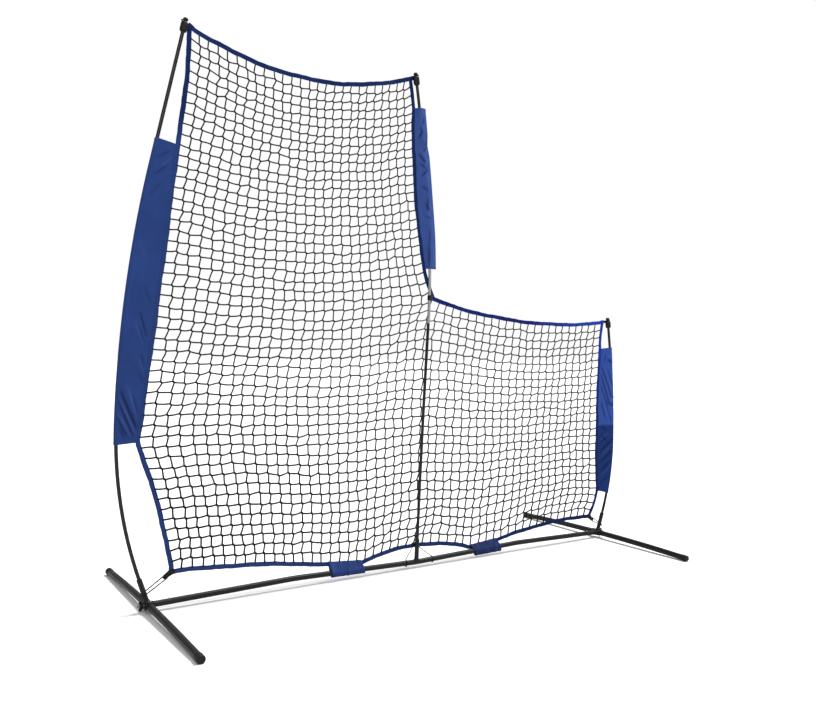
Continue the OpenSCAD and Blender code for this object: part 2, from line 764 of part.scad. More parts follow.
// Cloth tube between a pole and the binding beside it, with n + 1 stations
module sleeve(path, p, from, to, low, top, bow, side, loose, n = 13) {
    round_r = pole_d / 2 + sleeve_ease + cloth_t;
    tail_r = cloth_t + 0.4;
    line = bowed(low, top, bow, n);
    color("#2c4a9e") at_tee() cloth_tube([for (k = [0 : n])
        let (q = point_at(path, from + (to - from) * k / n, p), a = [side * q[0], q[1]], v = line[k] - a,
            w = norm(v) - binding_r - 1.5 * seat - tail_r, lean = atan2(-v[1], v[0]))
        [a[0], a[1], lean, [[0, 0, round_r], [w, net_y, tail_r],
            [-loose, net_y / 3, loose > 0 ? tail_r : round_r]]]], cloth_t);
}

// Cloth loop round the rail and the binding
module rail_strap(ends) {
    round_r = rail_d / 2 + 2 * seat + cloth_t;
    tail_r = net_t / 2 + seat + cloth_t;
    color("#2a418f") at_tee() cloth_tube([for (e = ends)
        let (z = rail_z(e[0]), up = e[1] - z, half_h = binding_r + seat)
        [e[0], z, -90, [[0, 0, round_r], [up - half_h, net_y, tail_r], [up + half_h, net_y, tail_r]]]],
        cloth_t);
}

// Webbing patch on the front of a corner of the binding, out to the place where its cord starts
module corner_patch(corner, out) {
    color("#121314") flat(tab_t, net_front - tab_t / 2) hull() {
        translate(corner) circle(d = tab_w);
        translate(out) circle(d = tab_w * 0.7);
    }
}

// Patch on an upper corner, and the elastic loop from it round the neck of the pole's cap
module corner_loop(path, p, corner, side) {
    q = step(point_at(path, path_l(path), p), cap_h - cap_deep + neck_h / 2, 0);
    neck = [side * q[0], 0, q[1]];
    way = corner[0] > neck[0] ? 1 : -1;
    across = way * [cos(q[2]), 0, -side * sin(q[2])];
    out = [neck[0] + way * (cap_d / 2 + 4), neck[2] - neck_h - cord_d];
    front = net_front - tab_t - cord_d / 2;
    corner_patch(corner, out);
    color("#121314") at_tee() cord(concat([[out[0], front, out[1] - cord_d]],
        turn(neck, neck_d / 2 + seat + cord_d / 2, across, [0, 1, 0], 60, 300),
        [[out[0], front, out[1] + cord_d]]), [0, 0, 1]);
}

module inner_corner_strap() {
    strap_h = 25;
    loop_r = pole_d / 2 + seat + tab_t;
    color("#121314") at_tee() cloth_tube([for (k = [-0.5, 0.5])
        let (q = point_at(middle_path, inner_corner_s + k * strap_h, middle_start))
        [q[0], q[1], q[2], [[0, 0, loop_r], [corner_gap, net_front - 0.8, 0.8]]]], 0.6);
}

// Elastic cord from a patch's end, round a socket and back
module socket_cord(side, out) {
    q = step(outer_start(side), socket_l * 0.45, 0);
    hold = [side * q[0], 0, q[1]];
    front = net_front - tab_t - cord_d / 2;
    way = unit([out[0] - hold[0], 0, out[1] - hold[2]]);
    normal = cross(way, [0, 1, 0]);
    color("#121314") at_tee() cord(concat([[out[0], front, out[1]] - tab_w / 3 * normal],
        turn(hold, socket_d / 2 + seat + cord_d, way, [0, 1, 0], 80, 280),
        [[out[0], front, out[1]] + tab_w / 3 * normal]), normal);
}

left_out = low_left + [-26, -17];
right_out = low_right + [24, -19];
base_tab_z = strap_left[1][1] + hump_h - binding_r - 2;

module base_tab_middle() {
    color("#121314") flat(tab_t, net_front - tab_t / 2) translate([0, base_tab_z + 10])
        square([46, 26], center = true);
}

// Two elastic cords from the middle tab, each wound once round the rail
module base_cord_middle() {
    hold_left = 56;
    hold_right = 83;
    color("#121314") for (s = [-1, 1]) {
        q = point_at(rail_path(s), s < 0 ? hold_left : hold_right, rail_start);
        on_side(s) cord(concat([[17, net_front - tab_t - cord_d / 2, base_tab_z]],
            turn([q[0], 0, q[1]], rail_d / 2 + seat + cord_d / 2, [0, 0, 1], [0, -1, 0], -10, 310, 16)),
            [cos(rail_in), 0, sin(rail_in)]);
    }
}

foot_tube(-1);  // foot_tube_left
foot_tube(1);  // foot_tube_right
foot_caps(-1);  // foot_caps_left
foot_caps(1);  // foot_caps_right
corner_bracket(-1);  // corner_bracket_left
corner_bracket(1);  // corner_bracket_right
bracket_stud(-1);  // bracket_stud_left
bracket_stud(1);  // bracket_stud_right
stud_washer(-1);  // stud_washer_left
stud_washer(1);  // stud_washer_right
wing_nut(-1);  // wing_nut_left
wing_nut(1);  // wing_nut_right
centre_tee();
rail(-1, joint_left_x);  // rail_left
rail(1, joint_right_x);  // rail_right
snap_button(-1);  // snap_button_left
snap_button(1);  // snap_button_right
button_spring(-1);  // button_spring_left
button_spring(1);  // button_spring_right
on_side(-1) pole(left_path, outer_start(-1), socket_floor, ferrule_from);  // pole_left_lower
on_side(-1) pole(left_path, outer_start(-1), ferrule_from + ferrule_l, path_l(left_path));  // pole_left_upper
on_side(-1) ferrule(left_path, outer_start(-1));  // ferrule_left
at_tee() pole(middle_path, middle_start, tee_floor, ferrule_from);  // pole_middle_lower
at_tee() pole(middle_path, middle_start, ferrule_from + ferrule_l, path_l(middle_path));  // pole_middle_upper
at_tee() ferrule(middle_path, middle_start);  // ferrule_middle
on_side(1) pole(right_path, outer_start(1), socket_floor, path_l(right_path));  // pole_right
on_side(-1) pole_cap(left_path, outer_start(-1));  // pole_cap_left
at_tee() pole_cap(middle_path, middle_start);  // pole_cap_middle
on_side(1) pole_cap(right_path, outer_start(1));  // pole_cap_right
net_tall_panel();
net_low_panel();
binding_left();
binding_top_tall();
binding_middle();
binding_top_low();
binding_right();
binding_bottom();
sleeve(left_path, outer_start(-1), sleeve_left_from, sleeve_left_to, left_sleeve_low, left_sleeve_top,  // sleeve_left
        bow_left_sleeve, -1, 0);
sleeve(middle_path, middle_start, sleeve_middle_from,  // sleeve_middle
    sleeve_middle_to, middle_sleeve_low, middle_sleeve_top, -bow_middle_sleeve, 1, sleeve_middle_loose);
sleeve(right_path, outer_start(1), sleeve_right_from,  // sleeve_right
    sleeve_right_to, right_sleeve_low, right_sleeve_top, -bow_right_sleeve, 1, 0);
rail_strap(strap_left);  // rail_strap_left
rail_strap(strap_right);  // rail_strap_right
corner_loop(left_path, outer_start(-1), top_left, -1);  // corner_loop_left
corner_loop(middle_path, middle_start, top_middle, 1);  // corner_loop_middle
corner_loop(right_path, outer_start(1), top_right, 1);  // corner_loop_right
inner_corner_strap();
corner_patch(low_left, left_out);  // corner_tab_left
corner_patch(low_right, right_out);  // corner_tab_right
socket_cord(-1, left_out);  // corner_cord_left
socket_cord(1, right_out);  // corner_cord_right
base_tab_middle();
base_cord_middle();
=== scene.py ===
# Bow-frame L screen: finishes for the rigid frame, and the net, bindings, sleeves, straps, tabs and
# cords as detailed pieces in place of their plain solids. Metres, in the frame's own axes.
import math

import bpy
import numpy as np
from mathutils import Matrix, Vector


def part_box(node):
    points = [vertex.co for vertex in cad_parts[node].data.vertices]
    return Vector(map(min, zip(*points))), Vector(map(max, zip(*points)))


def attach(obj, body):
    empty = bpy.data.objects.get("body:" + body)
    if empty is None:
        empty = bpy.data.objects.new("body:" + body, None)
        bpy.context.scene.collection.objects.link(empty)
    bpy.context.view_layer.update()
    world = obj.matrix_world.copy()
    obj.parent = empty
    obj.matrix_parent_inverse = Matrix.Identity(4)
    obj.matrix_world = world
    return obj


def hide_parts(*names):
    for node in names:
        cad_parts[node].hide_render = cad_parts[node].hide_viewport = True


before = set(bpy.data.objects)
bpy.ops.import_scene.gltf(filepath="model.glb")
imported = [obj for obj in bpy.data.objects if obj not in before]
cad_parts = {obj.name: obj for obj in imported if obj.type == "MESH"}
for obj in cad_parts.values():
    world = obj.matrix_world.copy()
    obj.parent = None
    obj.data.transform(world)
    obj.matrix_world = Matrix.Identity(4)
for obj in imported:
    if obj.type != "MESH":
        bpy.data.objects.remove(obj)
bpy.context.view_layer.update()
FRAME_BODY = "frame"
rng = np.random.default_rng(7)

# ---- the photograph's camera

IMAGE_W, IMAGE_H = 816, 727
CENTRE_X, CENTRE_Y = 431.98, 341.45  # principal point, in the photograph's pixels
FOCAL_PX = 817.09
SENSOR = 36.0
CAMERA_AT = (-1.9636, -2.9336, 0.9642)
YAW, PITCH, ROLL = math.radians(34.947), math.radians(0.255), math.radians(1.144)


def stand(across, upward, forward, place):
    """World matrix of a camera or a lamp."""
    return Matrix([[across[k], upward[k], -forward[k], place[k]] for k in range(3)] + [[0, 0, 0, 1]])


def make_camera():
    forward = np.array([math.sin(YAW) * math.cos(PITCH), math.cos(YAW) * math.cos(PITCH), math.sin(PITCH)])
    right = np.array([math.cos(YAW), -math.sin(YAW), 0.0])
    up = np.cross(right, forward)
    data = bpy.data.cameras.new("camera")
    data.sensor_width = SENSOR
    data.lens = SENSOR * FOCAL_PX / IMAGE_W
    data.shift_x = (IMAGE_W / 2 - CENTRE_X) / IMAGE_W
    data.shift_y = (CENTRE_Y - IMAGE_H / 2) / IMAGE_W
    camera = bpy.data.objects.new("camera", data)
    camera.matrix_world = stand(right * math.cos(ROLL) + up * math.sin(ROLL),
                                up * math.cos(ROLL) - right * math.sin(ROLL), forward, CAMERA_AT)
    bpy.context.scene.collection.objects.link(camera)
    bpy.context.scene.camera = camera


make_camera()

# ---- lines read from the frame


def node_points(node):
    """The node's corners as [x, y, z]."""
    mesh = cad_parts[node].data
    points = np.empty(len(mesh.vertices) * 3)
    mesh.vertices.foreach_get("co", points)
    return points.reshape(-1, 3)


def edge_ends(node):
    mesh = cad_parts[node].data
    ends = np.empty(len(mesh.edges) * 2, int)
    mesh.edges.foreach_get("vertices", ends)
    points = node_points(node)
    return points[ends[::2]], points[ends[1::2]]


def depth(node):
    """The node's size from front to back."""
    low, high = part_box(node)
    return high[1] - low[1]


class Strip:
    """The two sides of long nodes, read at even levels along X (axis 0) or Z (axis 2)."""

    def __init__(self, nodes, axis, levels=120, clip=0.0006):
        boxes = np.array([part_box(node) for node in nodes])
        self.axis, self.other = axis, 2 - axis
        self.levels = np.linspace(boxes[:, 0, axis].min() + clip, boxes[:, 1, axis].max() - clip, levels)
        self.low, self.high = np.full(levels, np.inf), np.full(levels, -np.inf)
        for node in nodes:
            a, b = edge_ends(node)
            for k, level in enumerate(self.levels):
                across = (a[:, axis] - level) * (b[:, axis] - level) < 0
                if not across.any():
                    continue
                p, q = a[across], b[across]
                share = (level - p[:, axis]) / (q[:, axis] - p[:, axis])
                value = p[:, self.other] + share * (q[:, self.other] - p[:, self.other])
                self.low[k] = min(self.low[k], value.min())
                self.high[k] = max(self.high[k], value.max())

    def at(self, level, side=0.0):
        """The other coordinate there: side -1 is the low side, 0 the middle and 1 the high side."""
        middle = np.interp(level, self.levels, (self.low + self.high) / 2)
        return middle + side * np.interp(level, self.levels, (self.high - self.low) / 2)

    def line(self, side=0.0, count=200, start=None, end=None):
        """Points [x, z] along it, evenly spaced."""
        level = np.linspace(self.levels[0] if start is None else start,
                            self.levels[-1] if end is None else end, 600)
        value = self.at(level, side)
        points = np.stack([level, value] if self.axis == 0 else [value, level], 1)
        return resample(points, count)


def at_depth(points, y):
    """Points [x, z] with their depth, as [x, y, z]."""
    return np.stack([points[..., 0], np.broadcast_to(y, points.shape[:-1]), points[..., 1]], -1)


def around(count):
    """Even angles round a circle, one to a row."""
    return np.linspace(0, 2 * math.pi, count, endpoint=False)[:, None]


def lengths(points):
    """How far along the line each of its points is."""
    return np.concatenate([[0], np.cumsum(np.linalg.norm(np.diff(points, axis=0), axis=1))])


def closed(ring):
    """The ring with its first point again at its end."""
    return np.vstack([ring, ring[:1]])


def resample(points, count):
    """The same line with evenly spaced points."""
    s = lengths(points)
    t = np.linspace(0, s[-1], count)
    return np.stack([np.interp(t, s, points[:, k]) for k in range(points.shape[1])], 1)


def waves(s, spans, sizes):
    """Smooth unevenness along s: one sine for each span and size, at a drawn phase."""
    return sum(size * np.sin(2 * math.pi * s / span + rng.uniform(0, 2 * math.pi))
               for span, size in zip(spans, sizes))


NET_Y = sum(corner[1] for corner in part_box("binding_left")) / 2
edge = {name: Strip(["binding_" + name], axis) for name, axis in (
    ("left", 2), ("top_tall", 0), ("middle", 2), ("top_low", 0), ("right", 2), ("bottom", 0))}
pole = {
    "left": Strip(["pole_left_lower", "pole_left_upper", "ferrule_left"], 2, 200),
    "middle": Strip(["pole_middle_lower", "pole_middle_upper", "ferrule_middle"], 2, 200),
    "right": Strip(["pole_right"], 2, 200),
}
RAIL_R = depth("rail_left") / 2
POLE_R = depth("pole_right") / 2


def crossing(upright, level, upright_side=0, level_side=0):
    """Corner [x, z] where a side of an upright strip meets a side of a level one."""
    z = np.median(level.low)
    for _ in range(20):
        x = upright.at(z, upright_side)
        z = level.at(x, level_side)
    return np.array([float(x), float(z)])


INNER = crossing(edge["middle"], edge["top_low"])
SLACK = np.array([0.009, -0.02])  # how far the inner corner gives, to the right and down
SLACK_REACH = 0.1  # how far from the corner the give has fallen to a third

# ---- mesh building


class Build:
    """Lofts and tubes gathered into one mesh, with UVs in metres along and metres or turns across."""

    def __init__(self):
        self.points, self.faces, self.uvs, self.count = [], [], [], 0

    def join(self, rings, across, along, cap_uvs=None):
        """Joins rings (tube, row, point, xyz) in turn; each tube has caps at both ends if those have UVs."""
        count, m, n = rings.shape[:3]
        k, i, j = (q.ravel() for q in np.indices((count, m - 1, n)))
        row, beside = self.count + (k * m + i) * n, (j + 1) % n
        self.faces += np.stack([row + j, row + beside, row + n + beside, row + n + j], 1).tolist()
        left, right, low, high = across[j], across[j + 1], along[k, i], along[k, i + 1]
        self.uvs.append(np.stack([left, low, right, low, right, high, left, high], 1).reshape(-1, 2))
        if cap_uvs is not None:
            first = self.count + np.arange(count)[:, None] * m * n
            self.faces += (first + np.arange(n)[::-1]).tolist()
            self.faces += (first + (m - 1) * n + np.arange(n)).tolist()
            self.uvs.append(cap_uvs)
        self.points.append(rings.reshape(-1, 3))
        self.count += count * m * n

    def loft(self, rings, caps=True):
        """One tube through closed rings (row, point, xyz)."""
        rings = np.asarray(rings, float)
        along = lengths(rings.mean(1))
        across = lengths(closed(rings[len(rings) // 2]))
        ends = ((across[-2::-1], along[0]), (across[:-1], along[-1]))
        cap_uvs = np.vstack([np.stack(np.broadcast_arrays(*end), 1) for end in ends]) if caps else None
        self.join(rings[None], across, along[None], cap_uvs)

    def tubes(self, lines, radius, sides=6):
        """Many round tubes, along lines (tube, point, xyz) that never run along Y."""
        lines = np.asarray(lines, float)
        count, m = lines.shape[:2]
        tangent = unit(np.gradient(lines, axis=1))
        u = unit(np.cross(tangent, (0.0, 1.0, 0.0)))
        v = np.cross(u, tangent)
        a = around(sides)
        radius = np.broadcast_to(radius, (count, m))[:, :, None, None]
        rings = lines[:, :, None] + radius * (np.cos(a) * u[:, :, None] + np.sin(a) * v[:, :, None])
        steps = np.linalg.norm(np.diff(lines, axis=1), axis=2)
        along = np.concatenate([np.zeros((count, 1)), np.cumsum(steps, axis=1)], 1)
        self.join(rings, np.arange(sides + 1) / sides, along, np.zeros((2 * count * sides, 2)))

    def object(self, name, material, slot, replaced=(), fold=None, slack=False):
        """The mesh as a piece; slack lets it give round the net's inner corner, and fold stores each point's
        painted shade and highlight of a cloth fold.
        """
        mesh = bpy.data.meshes.new(name)
        points = np.concatenate(self.points)
        if slack:
            share = np.exp(-((points[:, [0, 2]] - INNER) ** 2).sum(1) / SLACK_REACH ** 2)
            points[:, [0, 2]] += share[:, None] * SLACK
        mesh.from_pydata(points.tolist(), [], self.faces)
        if fold is not None:
            tone = mesh.attributes.new("fold", "FLOAT", "POINT")
            tone.data.foreach_set("value", fold.astype(np.float32).ravel())
        layer = mesh.uv_layers.new(name="UVMap")
        layer.data.foreach_set("uv", np.concatenate(self.uvs).astype(np.float32).ravel())
        mesh.polygons.foreach_set("use_smooth", [True] * len(mesh.polygons))
        mesh.materials.append(material)
        mesh.update()
        piece = bpy.data.objects.new(name, mesh)
        bpy.context.scene.collection.objects.link(piece)
        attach(piece, FRAME_BODY)
        if replaced:
            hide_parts(*replaced)
        return piece


def unit(v):
    return v / np.maximum(np.linalg.norm(v, axis=-1, keepdims=True), 1e-12)


def hull_rim(circles, count):
    """Closed outline, evenly spaced, of a cloth pulled round circles [x, y, r]; it starts at +x."""
    a = around(720)
    way = np.hstack([np.cos(a), np.sin(a)])
    c = np.asarray(circles, float)
    best = (way @ c[:, :2].T + c[:, 2]).argmax(1)
    rim = c[best, :2] + c[best, 2:3] * way
    return resample(closed(rim), count + 1)[:-1]


def between(t, low, high, a, b):
    """At t, the straight line that is a at low and b at high."""
    return (high - t) / (high - low) * a + (t - low) / (high - low) * b


def smooth(points, count):
    """A smooth line through given points, evenly spaced (centripetal spline)."""
    p = np.asarray(points, float)
    p = np.vstack([2 * p[0] - p[1], p, 2 * p[-1] - p[-2]])
    knots = np.concatenate([[0], np.cumsum(np.sqrt(np.linalg.norm(np.diff(p, axis=0), axis=1)))])
    line = []
    for k in range(1, len(p) - 2):
        t = np.linspace(knots[k], knots[k + 1], 16, endpoint=k == len(p) - 3)[:, None]
        a = [between(t, knots[i], knots[i + 1], p[i], p[i + 1]) for i in range(k - 1, k + 2)]
        b = [between(t, knots[i], knots[i + 2], a[i - k + 1], a[i - k + 2]) for i in range(k - 1, k + 1)]
        line.append(between(t, knots[k], knots[k + 1], *b))
    return resample(np.vstack(line), count)


# ---- materials


def add(tree, kind, values=None, **settings):
    node = tree.nodes.new("ShaderNode" + kind)
    for key, value in settings.items():
        setattr(node, key, value)
    for key, value in (values or {}).items():
        if isinstance(value, bpy.types.NodeSocket):
            tree.links.new(value, node.inputs[key])
        else:
            node.inputs[key].default_value = value
    return node


def maths(tree, operation, a, b=0.0, c=0.0):
    return add(tree, "Math", {0: a, 1: b, 2: c}, operation=operation).outputs[0]


def times(tree, a, b):
    return maths(tree, "MULTIPLY", a, b)


def plus(tree, a, b):
    return maths(tree, "ADD", a, b)


def axes(tree, coordinates="UV"):
    """The coordinate's x, y and z."""
    return add(tree, "SeparateXYZ", {0: add(tree, "TexCoord").outputs[coordinates]}).outputs


def ramp(tree, value, low, high, a=0.0, b=1.0):
    """Value taken from [low, high] to [a, b], held at the ends."""
    return add(tree, "MapRange", {"Value": value, "From Min": low, "From Max": high, "To Min": a,
                                  "To Max": b}).outputs[0]


def blend(tree, share, a, b):
    mix = add(tree, "Mix", {"Factor": share}, data_type="RGBA")
    for socket, colour in ((mix.inputs[6], a), (mix.inputs[7], b)):
        if isinstance(colour, bpy.types.NodeSocket):
            tree.links.new(colour, socket)
        else:
            socket.default_value = (*colour, 1.0)
    return mix.outputs[2]


def noise(tree, scale, detail=2.0, stretch=None, coordinates="Object", rough=0.5):
    """Noise of that many spots to the metre, drawn out by a stretch for each axis."""
    vector = add(tree, "TexCoord").outputs[coordinates]
    if stretch:
        vector = add(tree, "Mapping", {"Vector": vector, "Scale": stretch}).outputs[0]
    return add(tree, "TexNoise", {"Vector": vector, "Scale": scale, "Detail": detail,
                                  "Roughness": rough}).outputs["Fac"]


def surface(name, colour, rough, metallic=0.0, **values):
    """A new material and its node tree; the shader's other inputs are given by name."""
    material = bpy.data.materials.new(name)
    material.use_nodes = True
    tree = material.node_tree
    shader = tree.nodes["Principled BSDF"]
    inputs = {"Base Color": colour, "Roughness": rough, "Metallic": metallic}
    inputs.update({key.replace("_", " "): value for key, value in values.items()})
    for key, value in inputs.items():
        if isinstance(value, tuple) and len(value) == 3:
            value = (*value, 1.0)
        shader.inputs[key].default_value = value
    return material, tree, shader


def colour_from(tree, shader, socket):
    tree.links.new(socket, shader.inputs["Base Color"])


def rough_from(tree, shader, socket):
    tree.links.new(socket, shader.inputs["Roughness"])


def bump(tree, shader, height, distance, strength=1.0):
    """Adds a height, in units of that distance in metres, to the shader's bumps so far."""
    values = {"Height": height, "Distance": distance, "Strength": strength}
    if shader.inputs["Normal"].is_linked:
        values["Normal"] = shader.inputs["Normal"].links[0].from_socket
    tree.links.new(add(tree, "Bump", values).outputs[0], shader.inputs["Normal"])


def powder_coat(name, dark, light):
    """Black powder coat: fine orange peel, a coarser one, and small scuffs."""
    material, tree, shader = surface(name, dark, 0.42, Specular_IOR_Level=0.3)
    cloud = noise(tree, 9.0, 3.0)
    scuff = ramp(tree, noise(tree, 60.0, 6.0, stretch=(1.0, 1.0, 0.35), rough=0.7), 0.66, 0.74)
    base = blend(tree, cloud, dark, light)
    colour_from(tree, shader, blend(tree, times(tree, scuff, 0.35), base, (0.1, 0.1, 0.11)))
    rough_from(tree, shader, plus(tree, ramp(tree, cloud, 0.3, 0.7, 0.34, 0.46), times(tree, scuff, 0.15)))
    bump(tree, shader, noise(tree, 700.0, 2.0), 0.00012)
    bump(tree, shader, noise(tree, 90.0, 3.0), 0.00025)
    return material


def moulded_plastic(name, colour):
    """Matte black plastic with a fine eroded grain."""
    material, tree, shader = surface(name, colour, 0.55, Specular_IOR_Level=0.3)
    grain = noise(tree, 1500.0, 3.0)
    cloud = noise(tree, 40.0, 3.0)
    colour_from(tree, shader, blend(tree, cloud, colour, tuple(1.7 * c for c in colour)))
    rough_from(tree, shader, ramp(tree, grain, 0.3, 0.7, 0.48, 0.64))
    bump(tree, shader, grain, 0.00015)
    return material


def pole_coat(name):
    """Satin black fibreglass with faint drawn lines along the pole."""
    material, tree, shader = surface(name, (0.009, 0.0095, 0.012), 0.34, Specular_IOR_Level=0.35)
    lines = noise(tree, 900.0, 3.0, stretch=(1.0, 1.0, 0.02))
    colour_from(tree, shader, blend(tree, ramp(tree, lines, 0.35, 0.75), (0.007, 0.0075, 0.01),
                                    (0.018, 0.019, 0.024)))
    rough_from(tree, shader, ramp(tree, lines, 0.3, 0.7, 0.26, 0.4))
    bump(tree, shader, lines, 0.00006)
    return material


def metal(name, colour, rough, stretch, tarnish):
    """Bare metal with fine lines along the stretch and a cloudy tarnish."""
    material, tree, shader = surface(name, colour, rough, 1.0)
    lines = noise(tree, 1400.0, 2.0, stretch=stretch)
    cloud = noise(tree, 35.0, 4.0)
    colour_from(tree, shader, blend(tree, ramp(tree, cloud, 0.4, 0.75, 0.0, 0.7), colour, tarnish))
    rough_from(tree, shader, plus(tree, ramp(tree, lines, 0.3, 0.7, rough - 0.08, rough + 0.1),
                                  ramp(tree, cloud, 0.4, 0.8, 0.0, 0.12)))
    bump(tree, shader, lines, 0.00008)
    return material


def plain_weave(tree, pitch):
    """Height of a plain weave, from UVs in metres."""
    across, along, _ = axes(tree)
    turn = math.pi / pitch
    over = maths(tree, "SINE", times(tree, across, turn))
    under = maths(tree, "SINE", times(tree, along, turn))
    return maths(tree, "MULTIPLY_ADD", times(tree, over, under), 0.5, 0.5)


FOLD_SHADE_SHARE, PAINTED_SHADE = 0.6, (0.0, 0.0, 0.003)  # painted shade in the cloth's hollows: how much of it, and its colour
FOLD_HIGHLIGHT_SHARE, PAINTED_HIGHLIGHT = 0.14, (0.16, 0.25, 0.6)  # painted highlight on the cloth's ridges: how much of it, and its colour


def by_place(tree, x_share, z_share, low, high):
    """0 to 1 as x_share * x + z_share * z goes from low to high."""
    parts = axes(tree, "Object")
    value = maths(tree, "MULTIPLY_ADD", parts[0], x_share, times(tree, parts[2], z_share))
    return ramp(tree, value, low, high)


def woven(name, colour, pitch, depth, sheen, rough=0.75, uneven=0.12, other=None, place=None, folds=False):
    """Woven cloth: a plain weave, slubs along both threads and a soft sheen. It can go over to another colour by
    place, which the tapes and the strap use as painted light and shade, and its folds can have painted shade in
    their hollows and painted highlight on their ridges."""
    material, tree, shader = surface(name, colour, rough, Sheen_Weight=sheen, Sheen_Roughness=0.45,
                                     Sheen_Tint=(0.2, 0.4, 1.0), Specular_IOR_Level=0.12)
    weave = plain_weave(tree, pitch)
    slub = plus(tree, noise(tree, 240.0, 2.0, (1.0, 0.06, 1.0), "UV"),
                noise(tree, 240.0, 2.0, (0.06, 1.0, 1.0), "UV"))
    cloud = noise(tree, 7.0, 4.0)
    dark, light = (tuple(share * c for c in colour) for share in (1 - uneven, 1 + uneven))
    tone = blend(tree, ramp(tree, plus(tree, times(tree, slub, 0.5), cloud), 0.75, 1.25), dark, light)
    # a fade by place to another colour; on the tapes and the strap it is painted light and shade
    if other:
        tone = blend(tree, by_place(tree, *place), tone, other)
    # painted shade in the hollows of the folds and painted highlight on their ridges, from the fold attribute
    if folds:
        fold = add(tree, "Attribute", attribute_name="fold").outputs["Fac"]
        tone = blend(tree, ramp(tree, fold, -1.0, 0.0, FOLD_SHADE_SHARE, 0.0), tone, PAINTED_SHADE)
        tone = blend(tree, ramp(tree, fold, 0.0, 1.0, 0.0, FOLD_HIGHLIGHT_SHARE), tone, PAINTED_HIGHLIGHT)
    deep = add(tree, "Mix", {"Factor": times(tree, weave, 0.35), 6: tone, 7: (0.45, 0.45, 0.45, 1.0)},
               data_type="RGBA", blend_type="MULTIPLY")
    colour_from(tree, shader, deep.outputs[2])
    rough_from(tree, shader, ramp(tree, slub, 0.7, 1.3, rough - 0.08, rough + 0.08))
    bump(tree, shader, weave, depth)
    bump(tree, shader, slub, depth * 0.8)
    return material


def ribbed_webbing(name, colour):
    """Black webbing: ribs across the tape with a weave on them."""
    material, tree, shader = surface(name, colour, 0.72, Sheen_Weight=0.05, Specular_IOR_Level=0.2)
    rib = maths(tree, "SINE", times(tree, axes(tree)[1], 2 * math.pi / 0.0021))
    weave = plain_weave(tree, 0.0008)
    colour_from(tree, shader, blend(tree, weave, colour, tuple(2.4 * c for c in colour)))
    bump(tree, shader, ramp(tree, rib, -1.0, 1.0), 0.0003)
    bump(tree, shader, weave, 0.00012)
    return material


def twisted(name, colour, light, twist, strands, depth):
    """Twine or braided cord: strands that wind round it, from UVs of turns across and metres along."""
    material, tree, shader = surface(name, colour, 0.7, Sheen_Weight=0.05, Specular_IOR_Level=0.2)
    turns, along, _ = axes(tree)
    phase = maths(tree, "MULTIPLY_ADD", along, 1.0 / twist, times(tree, turns, strands))
    ply = maths(tree, "ABSOLUTE", maths(tree, "SINE", times(tree, phase, math.pi)))
    fuzz = noise(tree, 2500.0, 2.0)
    colour_from(tree, shader, blend(tree, times(tree, ply, fuzz), colour, light))
    bump(tree, shader, ply, depth)
    bump(tree, shader, fuzz, depth * 0.4)
    return material


# The tapes are copies of one blue cloth. Their different colours, and their fades by place to a lighter blue, are
# painted light and shade: lighter towards the lower left, lower down the left binding, higher up the right binding
# and towards the right end of the low top binding.
TAPE_WEAVE = {"pitch": 0.0011, "depth": 0.00022, "sheen": 0.05}
# folds gives the sleeves painted shade in their hollows and painted highlight on their ridges
SLEEVE_WEAVE = {"pitch": 0.0007, "depth": 0.0001, "sheen": 0.08, "rough": 0.6, "folds": True}
tape_cloth = woven("binding_tape", (0.0055, 0.024, 0.125), **TAPE_WEAVE,
                   other=(0.03, 0.063, 0.225), place=(-0.6, -0.8, -0.6, 0.42))
left_tape_cloth = woven("binding_tape_left", (0.0055, 0.024, 0.125), **TAPE_WEAVE,
                        other=(0.023, 0.056, 0.215), place=(0.0, -1.0, -1.78, -1.68))
right_tape_cloth = woven("binding_tape_right", (0.0055, 0.021, 0.15), **TAPE_WEAVE,
                         other=(0.014, 0.055, 0.45), place=(0.0, 1.0, 0.6, 1.0))
low_top_cloth = woven("binding_tape_low_top", (0.0055, 0.021, 0.19), **TAPE_WEAVE,
                      other=(0.02, 0.075, 0.5), place=(1.0, 0.0, 0.65, 1.05))
# The sleeves are copies of one blue cloth, whose different colours are painted light and shade. The right sleeve
# is darker below a sharp line about 0.57 m up and lighter above it.
left_cloth = woven("sleeve_cloth_left", (0.022, 0.058, 0.235), **SLEEVE_WEAVE)
middle_cloth = woven("sleeve_cloth_middle", (0.045, 0.095, 0.35), **SLEEVE_WEAVE)
right_cloth = woven("sleeve_cloth_right", (0.012, 0.042, 0.21), **SLEEVE_WEAVE,
                    other=(0.042, 0.105, 0.47), place=(0.0, 1.0, 0.565, 0.577))
# The straps' cloth goes over to a darker blue towards the right strap, as painted shade.
strap_cloth = woven("strap_cloth", (0.024, 0.054, 0.21), 0.0008, 0.00012, 0.08, rough=0.66,
                    other=(0.016, 0.034, 0.135), place=(1.0, 0.0, 0.1, 0.3), folds=True)
thread = twisted("thread", (0.01, 0.035, 0.16), (0.03, 0.08, 0.3), 0.0012, 2.0, 0.0001)
webbing = ribbed_webbing("black_webbing", (0.009, 0.009, 0.01))
twine = twisted("net_twine", (0.003, 0.003, 0.0033), (0.014, 0.014, 0.015), 0.0042, 2.0, 0.00035)
elastic = twisted("elastic_cord", (0.004, 0.004, 0.0045), (0.02, 0.02, 0.022), 0.003, 4.0, 0.0002)
tube_coat = powder_coat("tube_coat", (0.007, 0.007, 0.008), (0.013, 0.013, 0.015))
bracket_coat = powder_coat("bracket_coat", (0.009, 0.009, 0.0105), (0.016, 0.016, 0.0185))
cap_plastic = moulded_plastic("cap_plastic", (0.006, 0.006, 0.0065))
pole_black = pole_coat("pole_coat")
